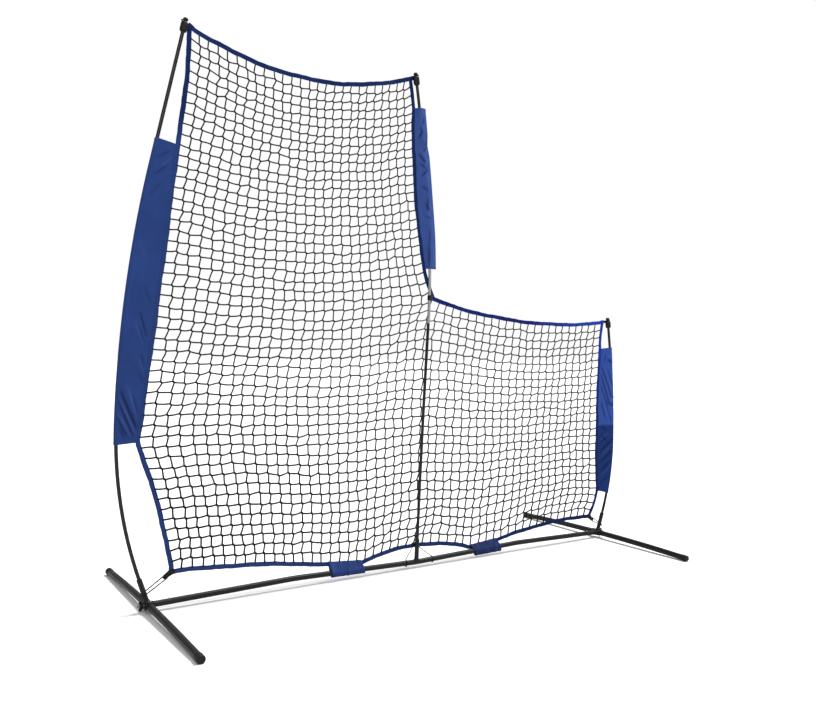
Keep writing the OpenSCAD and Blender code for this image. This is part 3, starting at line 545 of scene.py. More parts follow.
zinc = metal("zinc_plate", (0.5, 0.51, 0.53), 0.34, (1.0, 1.0, 1.0), (0.33, 0.34, 0.34))
drawn_metal = metal("drawn_metal", (0.55, 0.57, 0.57), 0.3, (1.0, 1.0, 0.02), (0.4, 0.42, 0.42))
spring_steel = metal("spring_steel", (0.6, 0.6, 0.61), 0.25, (1.0, 1.0, 1.0), (0.42, 0.42, 0.43))

# Each finish, and how the names of its nodes start
FINISHES = (
    (tube_coat, ("foot_tube", "rail_left", "rail_right")),
    (bracket_coat, ("corner_bracket", "centre_tee", "wing_nut")),
    (cap_plastic, ("foot_caps", "pole_cap")),
    (zinc, ("bracket_stud", "stud_washer")),
    (spring_steel, ("snap_button", "button_spring")),
    (drawn_metal, ("ferrule",)),
    (pole_black, ("pole_",)),
)
for node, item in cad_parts.items():
    finish = next((material for material, starts in FINISHES if node.startswith(starts)), None)
    if finish:
        item.data.materials.clear()
        item.data.materials.append(finish)

# ---- net: one continuous mesh of twine, tied at its edge into the bindings

COLUMNS_TALL, COLUMNS = 26, 50
ROWS_LOW, ROWS = 26, 51
# How far across a binding, from its middle, the net is caught, as a share of half its width
HELD_ON = {"left": 0.5, "top_tall": -0.5, "middle": -0.5, "top_low": -0.5, "right": -0.5, "bottom": 0.5}
TWINE_R = 0.0027
FLUFF, FLUFF_TOP, FLUFF_DEEP = 0.3, 0.95, 0.6  # how much thicker the twine gets below a level, and over what depth
JOINT = np.array([0.003, -0.0022])  # half of a joint's slanted length
SETTLING = 1500  # passes that let the net settle between its edges
STIFF = 6.0  # how much more a strand passes on along itself than across
SEAM_DRIFT = 0.065  # how far the bottom end of the column below the inner corner lies to the left
DRIFT, SHAKE = 0.006, 0.0011  # how far joints stray, together with their neighbours and each on its own
BELLY = 0.02  # how far the middle of the net hangs out behind its edge
PULLS = (0.85, 1.15)  # how unevenly the strands pull
LEVEL_BOW, UPRIGHT_BOW = 0.0008, 0.0006  # how slack the strands hang


def net_sides():
    """Binding, points of both corners, and grid rows and columns of both corners of each side of the net."""
    def corner(upright, level):
        return crossing(edge[upright], edge[level], HELD_ON[upright], HELD_ON[level])

    bottom_left, bottom_right = corner("left", "bottom"), corner("right", "bottom")
    top_left, top_middle = corner("left", "top_tall"), corner("middle", "top_tall")
    inner, top_right = corner("middle", "top_low"), corner("right", "top_low")
    seam_x = inner[0] - SEAM_DRIFT
    seam = np.array([seam_x, edge["bottom"].at(seam_x, HELD_ON["bottom"])])
    return (("left", bottom_left, top_left, (0, 0), (ROWS, 0)),
            ("top_tall", top_left, top_middle, (ROWS, 0), (ROWS, COLUMNS_TALL)),
            ("middle", inner, top_middle, (ROWS_LOW, COLUMNS_TALL), (ROWS, COLUMNS_TALL)),
            ("top_low", inner, top_right, (ROWS_LOW, COLUMNS_TALL), (ROWS_LOW, COLUMNS)),
            ("right", bottom_right, top_right, (0, COLUMNS), (ROWS_LOW, COLUMNS)),
            ("bottom", bottom_left, seam, (0, 0), (0, COLUMNS_TALL)),
            ("bottom", seam, bottom_right, (0, COLUMNS_TALL), (0, COLUMNS)))


def settle(value, fixed, pull_h, pull_v, source=0.0, passes=SETTLING):
    """Moves every free grid point to the weighted middle of its neighbours, over and over."""
    def pulled(value):
        total = np.zeros_like(value)
        total[:, :-1] += pull_h[..., None] * value[:, 1:]
        total[:, 1:] += pull_h[..., None] * value[:, :-1]
        total[:-1] += pull_v[..., None] * value[1:]
        total[1:] += pull_v[..., None] * value[:-1]
        return total

    weight = pulled(np.ones((*fixed.shape, 1)))
    free = ~fixed & (weight[..., 0] > 0)
    for _ in range(passes):
        value[free] = pulled(value)[free] / weight[free] + source
    return value


def net_grid():
    """Joints of the net as [row, column, xyz], which of them exist, and which lie on its edge."""
    real = np.ones((ROWS + 1, COLUMNS + 1), bool)
    real[ROWS_LOW + 1:, COLUMNS_TALL + 1:] = False
    fixed = ~real
    place = np.zeros((ROWS + 1, COLUMNS + 1, 2))
    place[..., 1], place[..., 0] = np.meshgrid(np.linspace(0.1, 2.0, ROWS + 1),
                                               np.linspace(-1.1, 1.1, COLUMNS + 1), indexing="ij")
    for name, a, b, first, end in net_sides():
        count = max(end[0] - first[0], end[1] - first[1]) + 1
        axis = edge[name].axis // 2
        line = edge[name].line(HELD_ON[name], count, a[axis], b[axis])
        line[0], line[-1] = a, b
        rows, columns = (np.linspace(first[k], end[k], count).round().astype(int) for k in (0, 1))
        place[rows, columns] = line
        fixed[rows, columns] = True
    pull_h = rng.uniform(*PULLS, (ROWS + 1, COLUMNS)) * (real[:, :-1] & real[:, 1:])
    pull_v = rng.uniform(*PULLS, (ROWS, COLUMNS + 1)) * (real[:-1] & real[1:])
    place[..., :1] = settle(place[..., :1], fixed, STIFF * pull_h, pull_v)
    place[..., 1:] = settle(place[..., 1:], fixed, pull_h, STIFF * pull_v)
    even_h, even_v = (pull_h > 0).astype(float), (pull_v > 0).astype(float)
    free = ~fixed[..., None]
    drift = settle(rng.normal(0.0, DRIFT, place.shape) * free, fixed, even_h, even_v, passes=6)
    place += drift + rng.normal(0.0, SHAKE, place.shape) * free
    belly = settle(np.zeros((*fixed.shape, 1)), fixed, even_h, even_v, 0.0005)[..., 0]
    return at_depth(place, NET_Y + BELLY * belly / belly.max()), real, fixed


def bowed(a, b, bow):
    """Lines from a to b, each a little slack to one side."""
    t = np.linspace(0, 1, 4)[None, :, None]
    slack = rng.normal(0.0, bow, (len(a), 1, 3)) + (0.0, 0.0, -bow)
    return a[:, None] * (1 - t) + b[:, None] * t + slack * 4 * t * (1 - t)


def twine_radius(lines):
    """Radius at each point: the twine fluffs out towards the ground."""
    return TWINE_R * (1 + FLUFF * np.clip((FLUFF_TOP - lines[..., 2]) / FLUFF_DEEP, 0, 1))


def make_net():
    joints, real, fixed = net_grid()
    slant = np.array([JOINT[0], 0.0, JOINT[1]]) * ~fixed[..., None]
    build = Build()
    both = real[:, :-1] & real[:, 1:] & ~(fixed[:, :-1] & fixed[:, 1:])
    level = bowed((joints + slant)[:, :-1][both], (joints - slant)[:, 1:][both], LEVEL_BOW)
    both = real[:-1] & real[1:] & ~(fixed[:-1] & fixed[1:])
    upright = bowed((joints + slant)[1:][both], (joints - slant)[:-1][both], UPRIGHT_BOW)
    strands = np.concatenate([level, upright])
    build.tubes(strands, twine_radius(strands))
    inside = real & ~fixed
    for side in (-1, 1):
        reach = 1.25 * slant[inside]
        ties = np.linspace(-1, 1, 4)[None, :, None] * reach[:, None] + joints[inside][:, None]
        ties = ties + (0.0, side * 0.0006, 0.0)
        build.tubes(ties, np.array([0.8, 1.35, 1.35, 0.8]) * twine_radius(ties))
    build.object("net_mesh", twine, "net_twine", ("net_tall_panel", "net_low_panel"), slack=True)


make_net()

# ---- bindings: folded tape with its stitching

TAPE_W = float(np.median(edge["top_low"].high - edge["top_low"].low))
TAPE_T = depth("binding_left")
STITCH, STITCH_GAP, THREAD_R = 0.0031, 0.0014, 0.00032
SEAM = 0.62  # the stitches' place across the tape, from its middle to its inner edge
TAPE_STEP, TAPE_CALM = 0.006, 0.08  # from ring to ring, and from a tape's end to where it strays in full
WANDER, SET_BACK = 0.0012, 0.0006  # how far a tape strays sideways and backward
SWAY = 0.07  # how far it leans, in radians
# Half of the tape's section: place across it, and thickness, as shares of half its width and thickness
TAPE_HALF = ((-1.0, 0.0), (-0.985, 0.5), (-0.93, 0.85), (-0.8, 1.0), (-0.4, 0.97), (0.1, 0.9), (0.45, 1.0),
             (SEAM, 0.78), (0.78, 0.98), (0.93, 0.85), (1.0, 0.4))


def stitch_lines(seam, normal):
    """Short bowed lines of thread along a seam, laid on the side that the normal points to."""
    s = lengths(seam)
    start = np.arange(STITCH_GAP, s[-1] - STITCH - STITCH_GAP, STITCH + STITCH_GAP)
    t = start[:, None] + STITCH * np.array([0.0, 0.2, 0.8, 1.0])
    lift = THREAD_R * np.array([-1.2, 0.6, 0.6, -1.2])
    place = np.stack([np.interp(t, s, seam[:, k]) for k in range(3)], 2)
    out = np.stack([np.interp(t, s, normal[:, k]) for k in range(3)], 2)
    return place + lift[None, :, None] * out


def tape(name, line, inner_side, material):
    """Tape along a line [x, z]; inner_side is 1 where the net lies to the right of the way along it."""
    line = resample(line, max(60, int(lengths(line)[-1] / TAPE_STEP)))
    s = lengths(line)
    ends = np.clip(np.minimum(s, s[-1] - s) / TAPE_CALM, 0, 1)
    along = unit(np.gradient(line, axis=0))
    inward = inner_side * np.stack([along[:, 1], -along[:, 0]], 1)
    shift = ends * waves(s, (0.31, 0.113, 0.047), (WANDER, 0.5 * WANDER, 0.25 * WANDER))
    lean = ends * waves(s, (0.43, 0.17, 0.061), (SWAY, SWAY, 0.5 * SWAY))
    width = TAPE_W / 2 * (1 + waves(s, (0.19, 0.037), (0.03, 0.025)))
    set_back = ends * waves(s, (0.37, 0.09), (SET_BACK, 0.5 * SET_BACK))
    across = at_depth(inward * np.cos(lean)[:, None], np.sin(lean))
    centre = at_depth(line, NET_Y + set_back) + shift[:, None] * at_depth(inward, 0.0)
    facing = unit(np.cross(across, at_depth(along, 0.0)))
    facing *= -np.sign(facing[:, 1:2])  # towards the front
    pucker = waves(s, (0.0043, 0.0131), (0.03, 0.06))[:, None]
    section = np.array(TAPE_HALF + tuple((w, -t) for w, t in reversed(TAPE_HALF) if t > 0))
    flat = section[None, :, 0] * width[:, None]
    thick = section[None, :, 1] * TAPE_T / 2 * (1 + pucker * (section[None, :, 0] > 0))
    rings = centre[:, None] + flat[..., None] * across[:, None] + thick[..., None] * facing[:, None]
    build, seams = Build(), Build()
    build.loft(rings)
    build.object("tape_" + name, material, "binding_cloth", ("binding_" + name,), slack=True)
    for side in (-1, 1):
        seam = centre + (SEAM * width)[:, None] * across + side * 0.78 * TAPE_T / 2 * facing
        seams.tubes(stitch_lines(seam, side * facing), THREAD_R, 5)
    seams.object("stitches_" + name, thread, "binding_cloth", slack=True)


def tape_line(strip, past, reach=0.012):
    """Middle line of a binding, that far past its ends; near the cut ends it runs straight on."""
    start, end = strip.levels[0] - past, strip.levels[-1] + past
    low, high = strip.levels[0] + reach, strip.levels[-1] - reach
    line = strip.line(0, 400, low, high)
    head, tail = unit(line[0] - line[6]), unit(line[-1] - line[-7])
    k = strip.axis // 2
    a = line[0] + head * (low - start) / max(-head[k], 0.5)
    b = line[-1] + tail * (end - high) / max(tail[k], 0.5)
    return np.vstack([a[None], line, b[None]])


for name, inner_side, past, material in (
        ("left", 1, 0.0, left_tape_cloth), ("middle", -1, 0.0, tape_cloth),
        ("right", -1, 0.0, right_tape_cloth), ("top_tall", 1, 0.006, tape_cloth),
        ("top_low", 1, 0.006, low_top_cloth), ("bottom", -1, 0.006, tape_cloth)):
    tape(name, tape_line(edge[name], past), inner_side, material)

# ---- sleeves and straps: thin cloth pulled round a pole or the rail and caught in the binding

CLOTH_T = 0.0005
TUCK = 0.003  # how far a sleeve's cloth goes into the tape
SNUG = 0.0014  # how far a cloth lies off the pole or the rail that it goes round
HEM, HEM_RISE, HEM_EDGE = 0.011, 0.0005, 0.001  # a hem's width, how much thicker it is, and over what width
SEWN, SEWN_EASE = 0.006, 0.012  # how wide a sewn cloth lies still at its binding, and then eases into its folds
FOLD = 0.0018  # height of a fold at which its painted shade, in a hollow, and painted highlight, on a ridge, show in full


class Creases:
    """Folds of a cloth as soft ridges; each runs from [along, across] to [along, across]."""

    def __init__(self):
        self.items = []

    def fold(self, start, end, width, height):
        self.items.append((np.array(start, float), np.array(end, float), width, height))

    def scatter(self, count, along, across, length, angle, width, height):
        """Folds at drawn places, with their direction in degrees from the way along the cloth."""
        for _ in range(count):
            a = np.array([rng.uniform(*along), rng.uniform(*across)])
            turn = math.radians(rng.normal(angle, 9.0))
            reach = rng.uniform(0.5, 1.0) * length * np.array([math.cos(turn), math.sin(turn)])
            self.fold(a - reach / 2, a + reach / 2, width * rng.uniform(0.7, 1.3),
                      height * rng.uniform(0.5, 1.0) * rng.choice((-1, 1, 1)))
        return self

    def height(self, s, w):
        total = np.zeros(np.broadcast(s, w).shape)
        for a, b, width, height in self.items:
            d = b - a
            t = np.clip(((s - a[0]) * d[0] + (w - a[1]) * d[1]) / (d @ d), 0, 1)
            off = np.hypot(s - a[0] - t * d[0], w - a[1] - t * d[1])
            taper = 0.25 + 0.75 * np.sin(math.pi * t) ** 0.7
            total += height * taper * np.exp(-(off / width) ** 2)
        return total


def hem_rise(from_end):
    return HEM_RISE * float(np.clip((HEM - from_end) / HEM_EDGE + 0.5, 0, 1))


def side_levels(node, y_from, y_to):
    """Lowest and highest level of the node's points whose depth lies between those two."""
    points = node_points(node)
    z = points[(points[:, 1] > y_from) & (points[:, 1] < y_to), 2]
    return z.min(), z.max()


def cloth_rings(s, a, b, circles, front, back, count, sewn=True, deepest=-1.0, skew=0.0):
    """Rings of cloth at lengths s round stations a, pulled towards b, and their folds' painted shade (below 0) and
    painted highlight (above 0). Circles gives
    [x, y, r] of each ring at its reach. A sewn cloth lies still where the binding catches it, deepest is the
    lowest hollow, and skew is how far a ring's near side lies ahead of its far side."""
    rings, folds = [], []
    for k in range(len(a)):
        pull = b[k] - a[k]
        reach = np.linalg.norm(pull)
        pull = pull / reach
        rim = hull_rim(circles(k, reach), count)
        ahead = np.roll(rim, -1, 0) - np.roll(rim, 1, 0)
        normal = unit(np.stack([ahead[:, 1], -ahead[:, 0]], 1))
        in_front = np.clip(0.5 - normal[:, 1] * 1.4, 0, 1)
        near = np.clip((reach - SEWN - rim[:, 0]) / SEWN_EASE, 0, 1) if sewn else 1.0
        rise = near * (in_front * front.height(s[k], rim[:, 0]) + (1 - in_front) * back.height(s[k], rim[:, 0]))
        # the fold's height, kept as painted shade in a hollow and painted highlight on a ridge
        folds.append(rise / FOLD)
        rise = np.maximum(rise, deepest) + near * hem_rise(min(s[k], s[-1] - s[k]))
        rim = rim + rise[:, None] * normal
        lean = skew * (reach - rim[:, 0]) / reach
        rings.append(at_depth(a[k] + rim[:, :1] * pull, rim[:, 1]) + lean[:, None] * (1, 0, 0))
    return np.array(rings), np.array(folds)


def cloth(name, rings, folds, material, slot):
    """Open tube of thin cloth in place of the node, with the painted shade and highlight of its folds, and its
    hems' stitches as a piece on it.
    """
    build, seams = Build(), Build()
    build.loft(rings, caps=False)
    piece = build.object(name + "_cloth", material, slot, (name,), fold=np.clip(folds, -1, 1))
    solid = piece.modifiers.new("cloth", "SOLIDIFY")
    solid.thickness, solid.offset = CLOTH_T, 0.0
    middle = rings.mean(1)
    s = lengths(middle)
    for end in (0, -1):
        row = int(np.argmin(np.abs(np.abs(s - s[end]) - HEM * 0.8)))
        ring = closed(rings[row])
        out = unit(ring - middle[row])
        seams.tubes(stitch_lines(resample(ring + out * 0.0002, 400), resample(out, 400)), THREAD_R, 5)
    seams.object(name + "_cloth_hem_stitches", thread, slot)


def by_hand(folds, share=1.0):
    creases = Creases()
    for s1, w1, s2, w2, width, height in folds:
        creases.fold((s1 / 1000, w1 / 1000), (s2 / 1000, w2 / 1000), width / 1000, share * height / 1000)
    return creases


def sleeve(side, material, folds, loose=None, trim=(0.0, 0.0), stations=260):
    """Cloth between the pole and the binding of a side. Loose gives, at each share of the way up, how far it
    hangs out past the pole; trim is how far its top edge lies below the solid's at the pole and the binding."""
    node = "sleeve_" + side
    low_pole, high_pole = side_levels(node, -1.0, -POLE_R)
    low_edge, high_edge = side_levels(node, NET_Y, 1.0)
    p = pole[side].line(0, stations, low_pole, high_pole - trim[0])
    e = edge[side].line(0, stations, low_edge, high_edge - trim[1])
    tail = 0.0012

    def circles(k, reach):
        rim = [[0, 0, POLE_R + SNUG], [reach - TAPE_W / 2 - tail + TUCK, NET_Y, tail]]
        if loose:
            rim.append([-np.interp(k / (stations - 1), *loose), NET_Y / 3, 0.002])
        return rim

    rings, fold_shading = cloth_rings(lengths(p), p, e, circles, by_hand(folds), by_hand(folds, 0.7), 160)
    cloth(node, rings, fold_shading, material, "sleeve_cloth")


# Folds listed one by one: up from the lower end and out from the pole at the start and the end, in millimetres,
# then the width and the height; a fold of a height below 0 is a hollow
LEFT_FOLDS = (
    (190, 6, 24, 86, 5, -2.6), (158, 6, 22, 72, 4, 2), (150, 3, 26, 61, 4, -2.2), (108, 3, 26, 50, 4, 1.8),
    (96, 0, 24, 39, 3.5, -1.8), (172, 52, 40, 91, 4, -2), (205, 28, 70, 83, 6, 1.8), (60, 8, 20, 28, 4, -1.5),
    (464, 52, 381, 86, 4, -1.6), (430, 36, 350, 77, 5, 1.3), (420, 47, 350, 83, 3.5, -1.2),
    (320, 69, 270, 88, 3.5, -1.2), (300, 63, 250, 86, 3.5, 1), (250, 69, 210, 88, 3.5, -1.1),
    (1022, 19, 1056, 55, 4.5, -1.2), (957, 19, 1000, 55, 4.5, -1.1), (990, 33, 1040, 75, 5, 1.1),
    (880, 14, 930, 47, 5, -0.6), (560, 55, 500, 86, 4, -0.8), (720, 14, 640, 55, 9, 0.5),
)
MIDDLE_FOLDS = (
    (655, -18, 600, 10, 5, -2.2), (640, 12, 590, -10, 5, 1.8), (610, -6, 560, 20, 4.5, -2),
    (560, -26, 528, -4, 4.5, -3), (535, -24, 500, 12, 4, -2.4), (520, 16, 470, -6, 5, 2.2),
    (500, 24, 452, -4, 4, -2.2), (478, -20, 440, 4, 4.5, 2), (455, 20, 428, -8, 4, -2),
    (430, -10, 400, 20, 5, -1.8), (410, -22, 370, 6, 5, 1.6), (360, 22, 330, -10, 5, -1.4),
    (320, -4, 250, 8, 5, -1.6), (285, 14, 240, -14, 4, -1.8), (262, -20, 228, 6, 4, 1.6),
    (232, 18, 214, -14, 4, -1.6), (115, 5, 4, 7, 5, -1.7), (180, -4, 110, 4, 5, -1.4), (110, -20, 4, -18, 6, 1.6),
    (200, -18, 130, -10, 6, 1.2), (688, -14, 640, -20, 5, 1.4),
)
RIGHT_FOLDS = (
    (728, -6, 696, 26, 5, 2.6), (696, 26, 668, -6, 5, -2.6), (712, 30, 680, 44, 4, -1.6),
    (496, -8, 470, 26, 5, 2.6), (470, 26, 440, -8, 5, -2.6), (484, 24, 450, 40, 4, -1.4),
    (660, 60, 480, 4, 4.5, -2.4), (650, 46, 500, 2, 5, 2), (620, 66, 450, 22, 4.5, -2.2),
    (600, 52, 520, 24, 4, 1.8), (560, 70, 420, 30, 4.5, -2), (520, 64, 400, 36, 4.5, 1.8),
    (470, 72, 370, 44, 4.5, -1.8), (430, 34, 360, 8, 4.5, -1.4), (640, 26, 560, 2, 4.5, -1.4),
    (342, 76, 320, 40, 4, -1.8), (300, 74, 262, 40, 4.5, -2), (268, 78, 306, 30, 5, 1.8),
    (250, 80, 292, 40, 4, -2), (210, 76, 276, 6, 4.5, -2.2), (180, 72, 256, 4, 4.5, 1.8),
    (150, 70, 224, 2, 4.5, -2), (110, 60, 172, 4, 4.5, -1.8), (80, 56, 150, 2, 5, 1.4), (40, 50, 96, 8, 5, -1.2),
)


sleeve("left", left_cloth, LEFT_FOLDS, trim=(0.018, 0.012))
sleeve("middle", middle_cloth, MIDDLE_FOLDS,
       ((0.0, 0.2, 0.45, 0.7, 0.77, 0.84, 1.0), (0.033, 0.034, 0.031, 0.03, 0.024, 0.03, 0.032)))
sleeve("right", right_cloth, RIGHT_FOLDS,
       ((0.0, 0.2, 0.5, 0.8, 1.0), (0.009, 0.009, 0.009, 0.013, 0.017)))


def rail_strap(side, skew, drop):
    """Cloth loop round the rail and the binding; skew is how far its lower edge lies to the right, and drop how
    far it hangs loose below the rail's middle."""
    node, rail = "rail_strap_" + side, "rail_" + side
    x = np.linspace(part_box(node)[0][0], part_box(node)[1][0], 46)
    strip = Strip([rail], 0, 60)
    centre = sum(np.interp(x, *strip.line(k, 60).T) for k in (-1, 1)) / 2
    front, back = (Creases().scatter(10, (0.0, 0.15), (-0.01, 0.05), 0.06, angle, 0.005, 0.0016)
                   for angle in (70, 110))
    rings, fold_shading = cloth_rings(
        x - x[0], np.stack([x, centre], 1), np.stack([x, edge["bottom"].at(x, 1.0) + 0.0012], 1),
        lambda k, reach: [[-drop, 0.001, 0.007], [0, 0, RAIL_R + SNUG], [reach - 0.0016, NET_Y, 0.0026]],
        front, back, 120, sewn=False, deepest=-0.0004, skew=skew)
    cloth(node, rings, fold_shading, strap_cloth, "strap_cloth")


rail_strap("left", 0.008, 0.011)
rail_strap("right", 0.012, 0.016)

# ---- webbing tabs and elastic cords

PATCH_W, PATCH_T = 0.022, 0.0015
CORD_R, BASE_CORD_R = 0.0022, 0.0017
SEAT = 0.0003  # how far a cord lies off what it goes round
SOCKET_R = 0.0095
NECK_HOLD = 0.0078  # from the middle of a cap's neck to the middle of the cord round it
HOLD_AT = 0.0256  # from a pole's lower end to where the corner's cord holds it
STRAP_T, STRAP_DROP = 0.0009, 0.0262  # the inner strap's thickness, and how much it falls on its way to the right
NET_FRONT = NET_Y - TAPE_T / 2
CORD_Y = NET_FRONT - PATCH_T - CORD_R
# A patch's section: place across it, and thickness, as shares of half its width and thickness
PATCH_SECTION = np.array([(-1, 0.0), (-0.98, 0.7), (-0.9, 1), (-0.5, 0.92), (0, 1), (0.5, 0.92), (0.9, 1),
                          (0.98, 0.7), (1, 0.0), (0.98, -0.7), (0.9, -1), (0, -1), (-0.9, -1), (-0.98, -0.7)])


def patch(name, corner, out, node, width=PATCH_W, narrow=0.7, material=webbing):
    """Patch folded over a corner of the binding, as a face in front and one behind; out is its narrow end."""
    way = np.array(out) - corner
    length = np.linalg.norm(way)
    way = way / length
    side = np.array([-way[1], way[0]])
    r1, r2 = width / 2, narrow * width / 2
    turn = np.linspace(0, math.pi / 2, 7)
    t = np.concatenate([-r1 * np.cos(turn), np.linspace(0, length, 14)[1:-1], length + r2 * np.sin(turn)])
    half = np.where(t < 0, np.sqrt(np.maximum(r1 ** 2 - t ** 2, 0)),
                    np.where(t > length, np.sqrt(np.maximum(r2 ** 2 - (t - length) ** 2, 0)),
                             r1 + (r2 - r1) * np.clip(t / length, 0, 1)))
    half = np.maximum(half, 0.0006)[:, None]
    line = corner + way * t[:, None]
    inside = (t > -0.6 * r1) & (t < length + 0.5 * r2)
    build, seams = Build(), Build()
    for face in (-1, 1):
        y = NET_Y + face * (TAPE_T + PATCH_T) / 2
        flat = line[:, None] + side * (PATCH_SECTION[:, :1] * half[..., None])
        ripple = face * 0.0003 * np.sin(9 * t[:, None] / length)
        build.loft(at_depth(flat, y + face * PATCH_SECTION[:, 1] * PATCH_T / 2 + ripple))
        for share in (-0.72, 0.72):
            seam = at_depth((line + side * share * half)[inside], y + face * PATCH_T / 2)
            seams.tubes(stitch_lines(resample(seam, 60), np.tile((0.0, face, 0.0), (60, 1))), THREAD_R, 5)
    build.object(name, material, "black_webbing" if material == webbing else "binding_cloth", (node,))
    seams.object(name + "_stitches", webbing, "black_webbing")


def elastic_cord(name, routes, count, radius=CORD_R, replaced=()):
    """Round cord along each route, its rings turned as little as can be from one to the next."""
    build, a = Build(), around(10)
    for route in routes:
        line = smooth(route, count)
        tangent = unit(np.gradient(line, axis=0))
        upright = abs(tangent[0][2]) >= 0.95
        u = np.array([1.0, 0.0, 0.0]) if upright else unit(np.cross(tangent[0], (0.0, 0.0, 1.0)))
        sides = []
        for way in tangent:
            u = unit(u - way * (u @ way))
            sides.append(u)
        u = np.array(sides)
        v = np.cross(tangent, u)
        build.loft(line[:, None] + radius * (np.cos(a) * u[:, None] + np.sin(a) * v[:, None]))
    build.object(name, elastic, "elastic_cord", replaced)


def arc(centre, radius, u, v, start, end, count=13):
    a = np.radians(np.linspace(start, end, count))[:, None]
    return np.asarray(centre) + radius * (np.cos(a) * np.asarray(u, float) + np.sin(a) * np.asarray(v, float))


def cap_loop(name, corner, material):
    """Patch on an upper corner and its elastic loop round the neck of the cap."""
    line = pole[name].line(0, 300)
    x, z = line[-1] + 0.006 * unit(line[-1] - line[-12])
    way = 1 if corner[0] > x else -1
    out_x, out_z = x + way * (depth("pole_cap_" + name) / 2 + 0.003), z - 0.004 - 2 * CORD_R
    patch("corner_patch_" + name, corner, (out_x, out_z), "corner_loop_" + name, 0.017, 0.8, material)
    route = [[out_x + way * 0.002, CORD_Y, out_z - 0.006], [out_x, CORD_Y, out_z - 0.002],
             *arc((x, 0.0, z), NECK_HOLD, (way, 0, 0), (0, 1, 0), 60, 300),
             [out_x, CORD_Y, out_z + 0.003], [out_x + way * 0.003, CORD_Y, out_z + 0.001]]
    elastic_cord("corner_elastic_" + name, [route], 70)


for name, top, material in (("left", "top_tall", tape_cloth), ("middle", "top_tall", tape_cloth),
                            ("right", "top_low", low_top_cloth)):
    cap_loop(name, crossing(edge[name], edge[top]), material)


def socket_tab(name, side):
    """Patch on a lower corner, and an elastic cord from it round the bracket's socket and back."""
    low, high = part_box("corner_tab_" + name)
    r1, r2 = PATCH_W / 2, 0.35 * PATCH_W
    near_x, far_x = (high[0] - r1, low[0] + r2) if side < 0 else (low[0] + r1, high[0] - r2)
    patch("corner_tab_" + name + "_webbing", (near_x, high[2] - r1), (far_x, low[2] + r2), "corner_tab_" + name)
    line = pole[name].line(0, 600)
    s = lengths(line)
    centre = np.array([np.interp(HOLD_AT, s, line[:, 0]), 0.0, np.interp(HOLD_AT, s, line[:, 1])])
    start = np.array([far_x, CORD_Y, low[2] + r2])
    way = unit((start - centre) * (1, 0, 1))
    aside = PATCH_W / 3 * np.cross(way, (0.0, 1.0, 0.0))
    route = [start + aside + 0.006 * way, start + aside,
             *arc(centre, SOCKET_R + SEAT + 2 * CORD_R, way, (0, 1, 0), 80, 280),
             start - aside, start - aside + 0.006 * way]
    elastic_cord("corner_cord_" + name + "_elastic", [route], 110, replaced=("corner_cord_" + name,))


socket_tab("left", -1)
socket_tab("right", 1)


def inner_strap():
    """Webbing loop that clips the inner corner to the middle pole."""
    low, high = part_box("inner_corner_strap")
    corner_x = edge["middle"].at(edge["middle"].levels[2]) + SLACK[0]
    rings = []
    for z in np.linspace(low[2] + 0.002, high[2] - 0.002, 12) + SLACK[1]:
        x = pole["middle"].at(z)
        rim = hull_rim([[0, 0, POLE_R + 2 * STRAP_T], [corner_x - x, NET_FRONT - 0.0006, STRAP_T]], 48)
        rings.append(np.stack([x + rim[:, 0], rim[:, 1], z - STRAP_DROP * rim[:, 0]], 1))
    build = Build()
    build.loft(rings, caps=False)
    piece = build.object("inner_corner_webbing", webbing, "black_webbing", ("inner_corner_strap",))
    solid = piece.modifiers.new("webbing", "SOLIDIFY")
    solid.thickness, solid.offset = STRAP_T, 0.0


inner_strap()


def base_tab():
    """Webbing tab on the bottom binding behind the tee, tied to the rail by a cord at each side."""
    low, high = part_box("base_tab_middle")
    x, z = (low[0] + high[0]) / 2, (low[2] + high[2]) / 2
    reach = (high[0] - low[0]) / 2 - 0.013
    patch("base_tab_webbing", (x - reach, z), (x + reach, z), "base_tab_middle", 0.75 * (high[2] - low[2]), 1.0)
    cord_low, cord_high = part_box("base_cord_middle")
    rail = Strip(["centre_tee"], 0, 80)
    routes = []
    for side, place in ((-1, cord_low[0] + BASE_CORD_R), (1, cord_high[0] - BASE_CORD_R)):
        wind = arc((place, 0.0, rail.at(place)), RAIL_R + SEAT + BASE_CORD_R, (0, 0, 1), (0, -1, 0), -10, 310, 17)
        wind[:, 0] += side * 0.004 * np.linspace(-0.5, 0.5, 17)
        routes.append([[x + side * 0.010, CORD_Y, low[2] + 0.010],
                       [x + side * 0.017, CORD_Y, low[2] + 0.003], *wind])
    elastic_cord("base_cord_elastic", routes, 90, BASE_CORD_R, ("base_cord_middle",))


base_tab()

# ---- floor and light

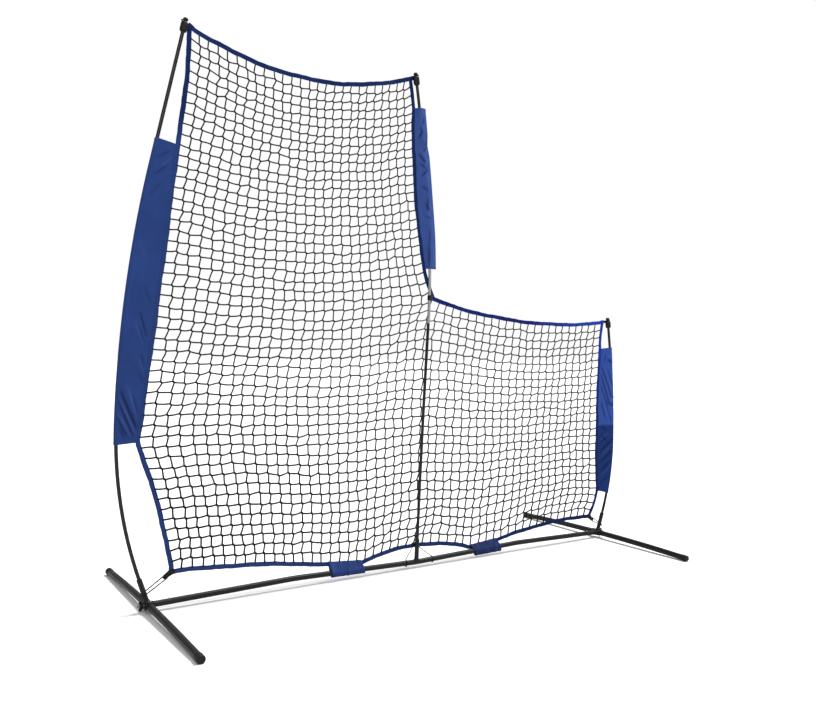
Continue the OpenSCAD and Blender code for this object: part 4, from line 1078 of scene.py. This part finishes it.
FLOOR = 40.0
FLOOR_SEEN, FLOOR_BOUNCE = (1.0, 1.0, 1.0), (0.6, 0.6, 0.6)  # its colour for the camera and for the light
FLOOR_LIFT = 0.05  # what the camera sees on top of the light on the floor, so that it is white
WORLD = 0.3  # the backdrop's light; the camera sees it at 1
LAMPS = (("key", (-2.2, -3.4, 3.6), 2.6, 60.0), ("fill", (3.2, -2.6, 2.4), 2.4, 15.0),
         ("rim", (0.5, 3.4, 3.2), 2.6, 20.0))  # name, place, size and power
LAMPS_AIM = (0.0, 0.0, 0.9)
SUN = 3.7  # the overhead lamp, a little to the right, whose shadows lie close under the pieces
SUN_TILT, SUN_ANGLE = math.radians(26.0), math.radians(15.0)


def lamp(name, kind, power, matrix, **settings):
    data = bpy.data.lights.new(name, kind)
    data.energy = power
    for key, value in settings.items():
        setattr(data, key, value)
    item = bpy.data.objects.new(name, data)
    item.matrix_world = matrix
    bpy.context.scene.collection.objects.link(item)


def studio():
    scene = bpy.context.scene
    scene.view_settings.view_transform = "Standard"
    world = bpy.data.worlds.new("studio")
    scene.world = world
    world.use_nodes = True
    tree = world.node_tree
    tree.nodes.clear()
    seen = add(tree, "LightPath").outputs["Is Camera Ray"]
    background = add(tree, "Background", {"Color": (1.0, 1.0, 1.0, 1.0),
                                          "Strength": ramp(tree, seen, 0, 1, WORLD, 1.0)})
    tree.links.new(background.outputs[0], add(tree, "OutputWorld").inputs["Surface"])

    for name, place, size, power in LAMPS:
        forward = unit(np.subtract(LAMPS_AIM, place))
        right = unit(np.cross(forward, (0.0, 0.0, 1.0)))
        lamp(name, "AREA", power, stand(right, np.cross(right, forward), forward, place), size=size)
    lamp("overhead", "SUN", SUN, Matrix.Rotation(SUN_TILT, 4, "Y"), angle=SUN_ANGLE)

    mesh = bpy.data.meshes.new("floor")
    mesh.from_pydata([(-FLOOR, -FLOOR, 0), (FLOOR, -FLOOR, 0), (FLOOR, FLOOR, 0), (-FLOOR, FLOOR, 0)], [],
                     [(0, 1, 2, 3)])
    floor = bpy.data.objects.new("floor", mesh)
    material, tree, shader = surface("floor", FLOOR_BOUNCE, 0.9)
    seen = add(tree, "LightPath").outputs["Is Camera Ray"]
    colour_from(tree, shader, blend(tree, seen, FLOOR_BOUNCE, FLOOR_SEEN))
    glow = add(tree, "Emission", {"Color": (1.0, 1.0, 1.0, 1.0), "Strength": times(tree, seen, FLOOR_LIFT)})
    both = add(tree, "AddShader", {0: shader.outputs[0], 1: glow.outputs[0]})
    tree.links.new(both.outputs[0], tree.nodes["Material Output"].inputs["Surface"])
    mesh.materials.append(material)
    scene.collection.objects.link(floor)


studio()
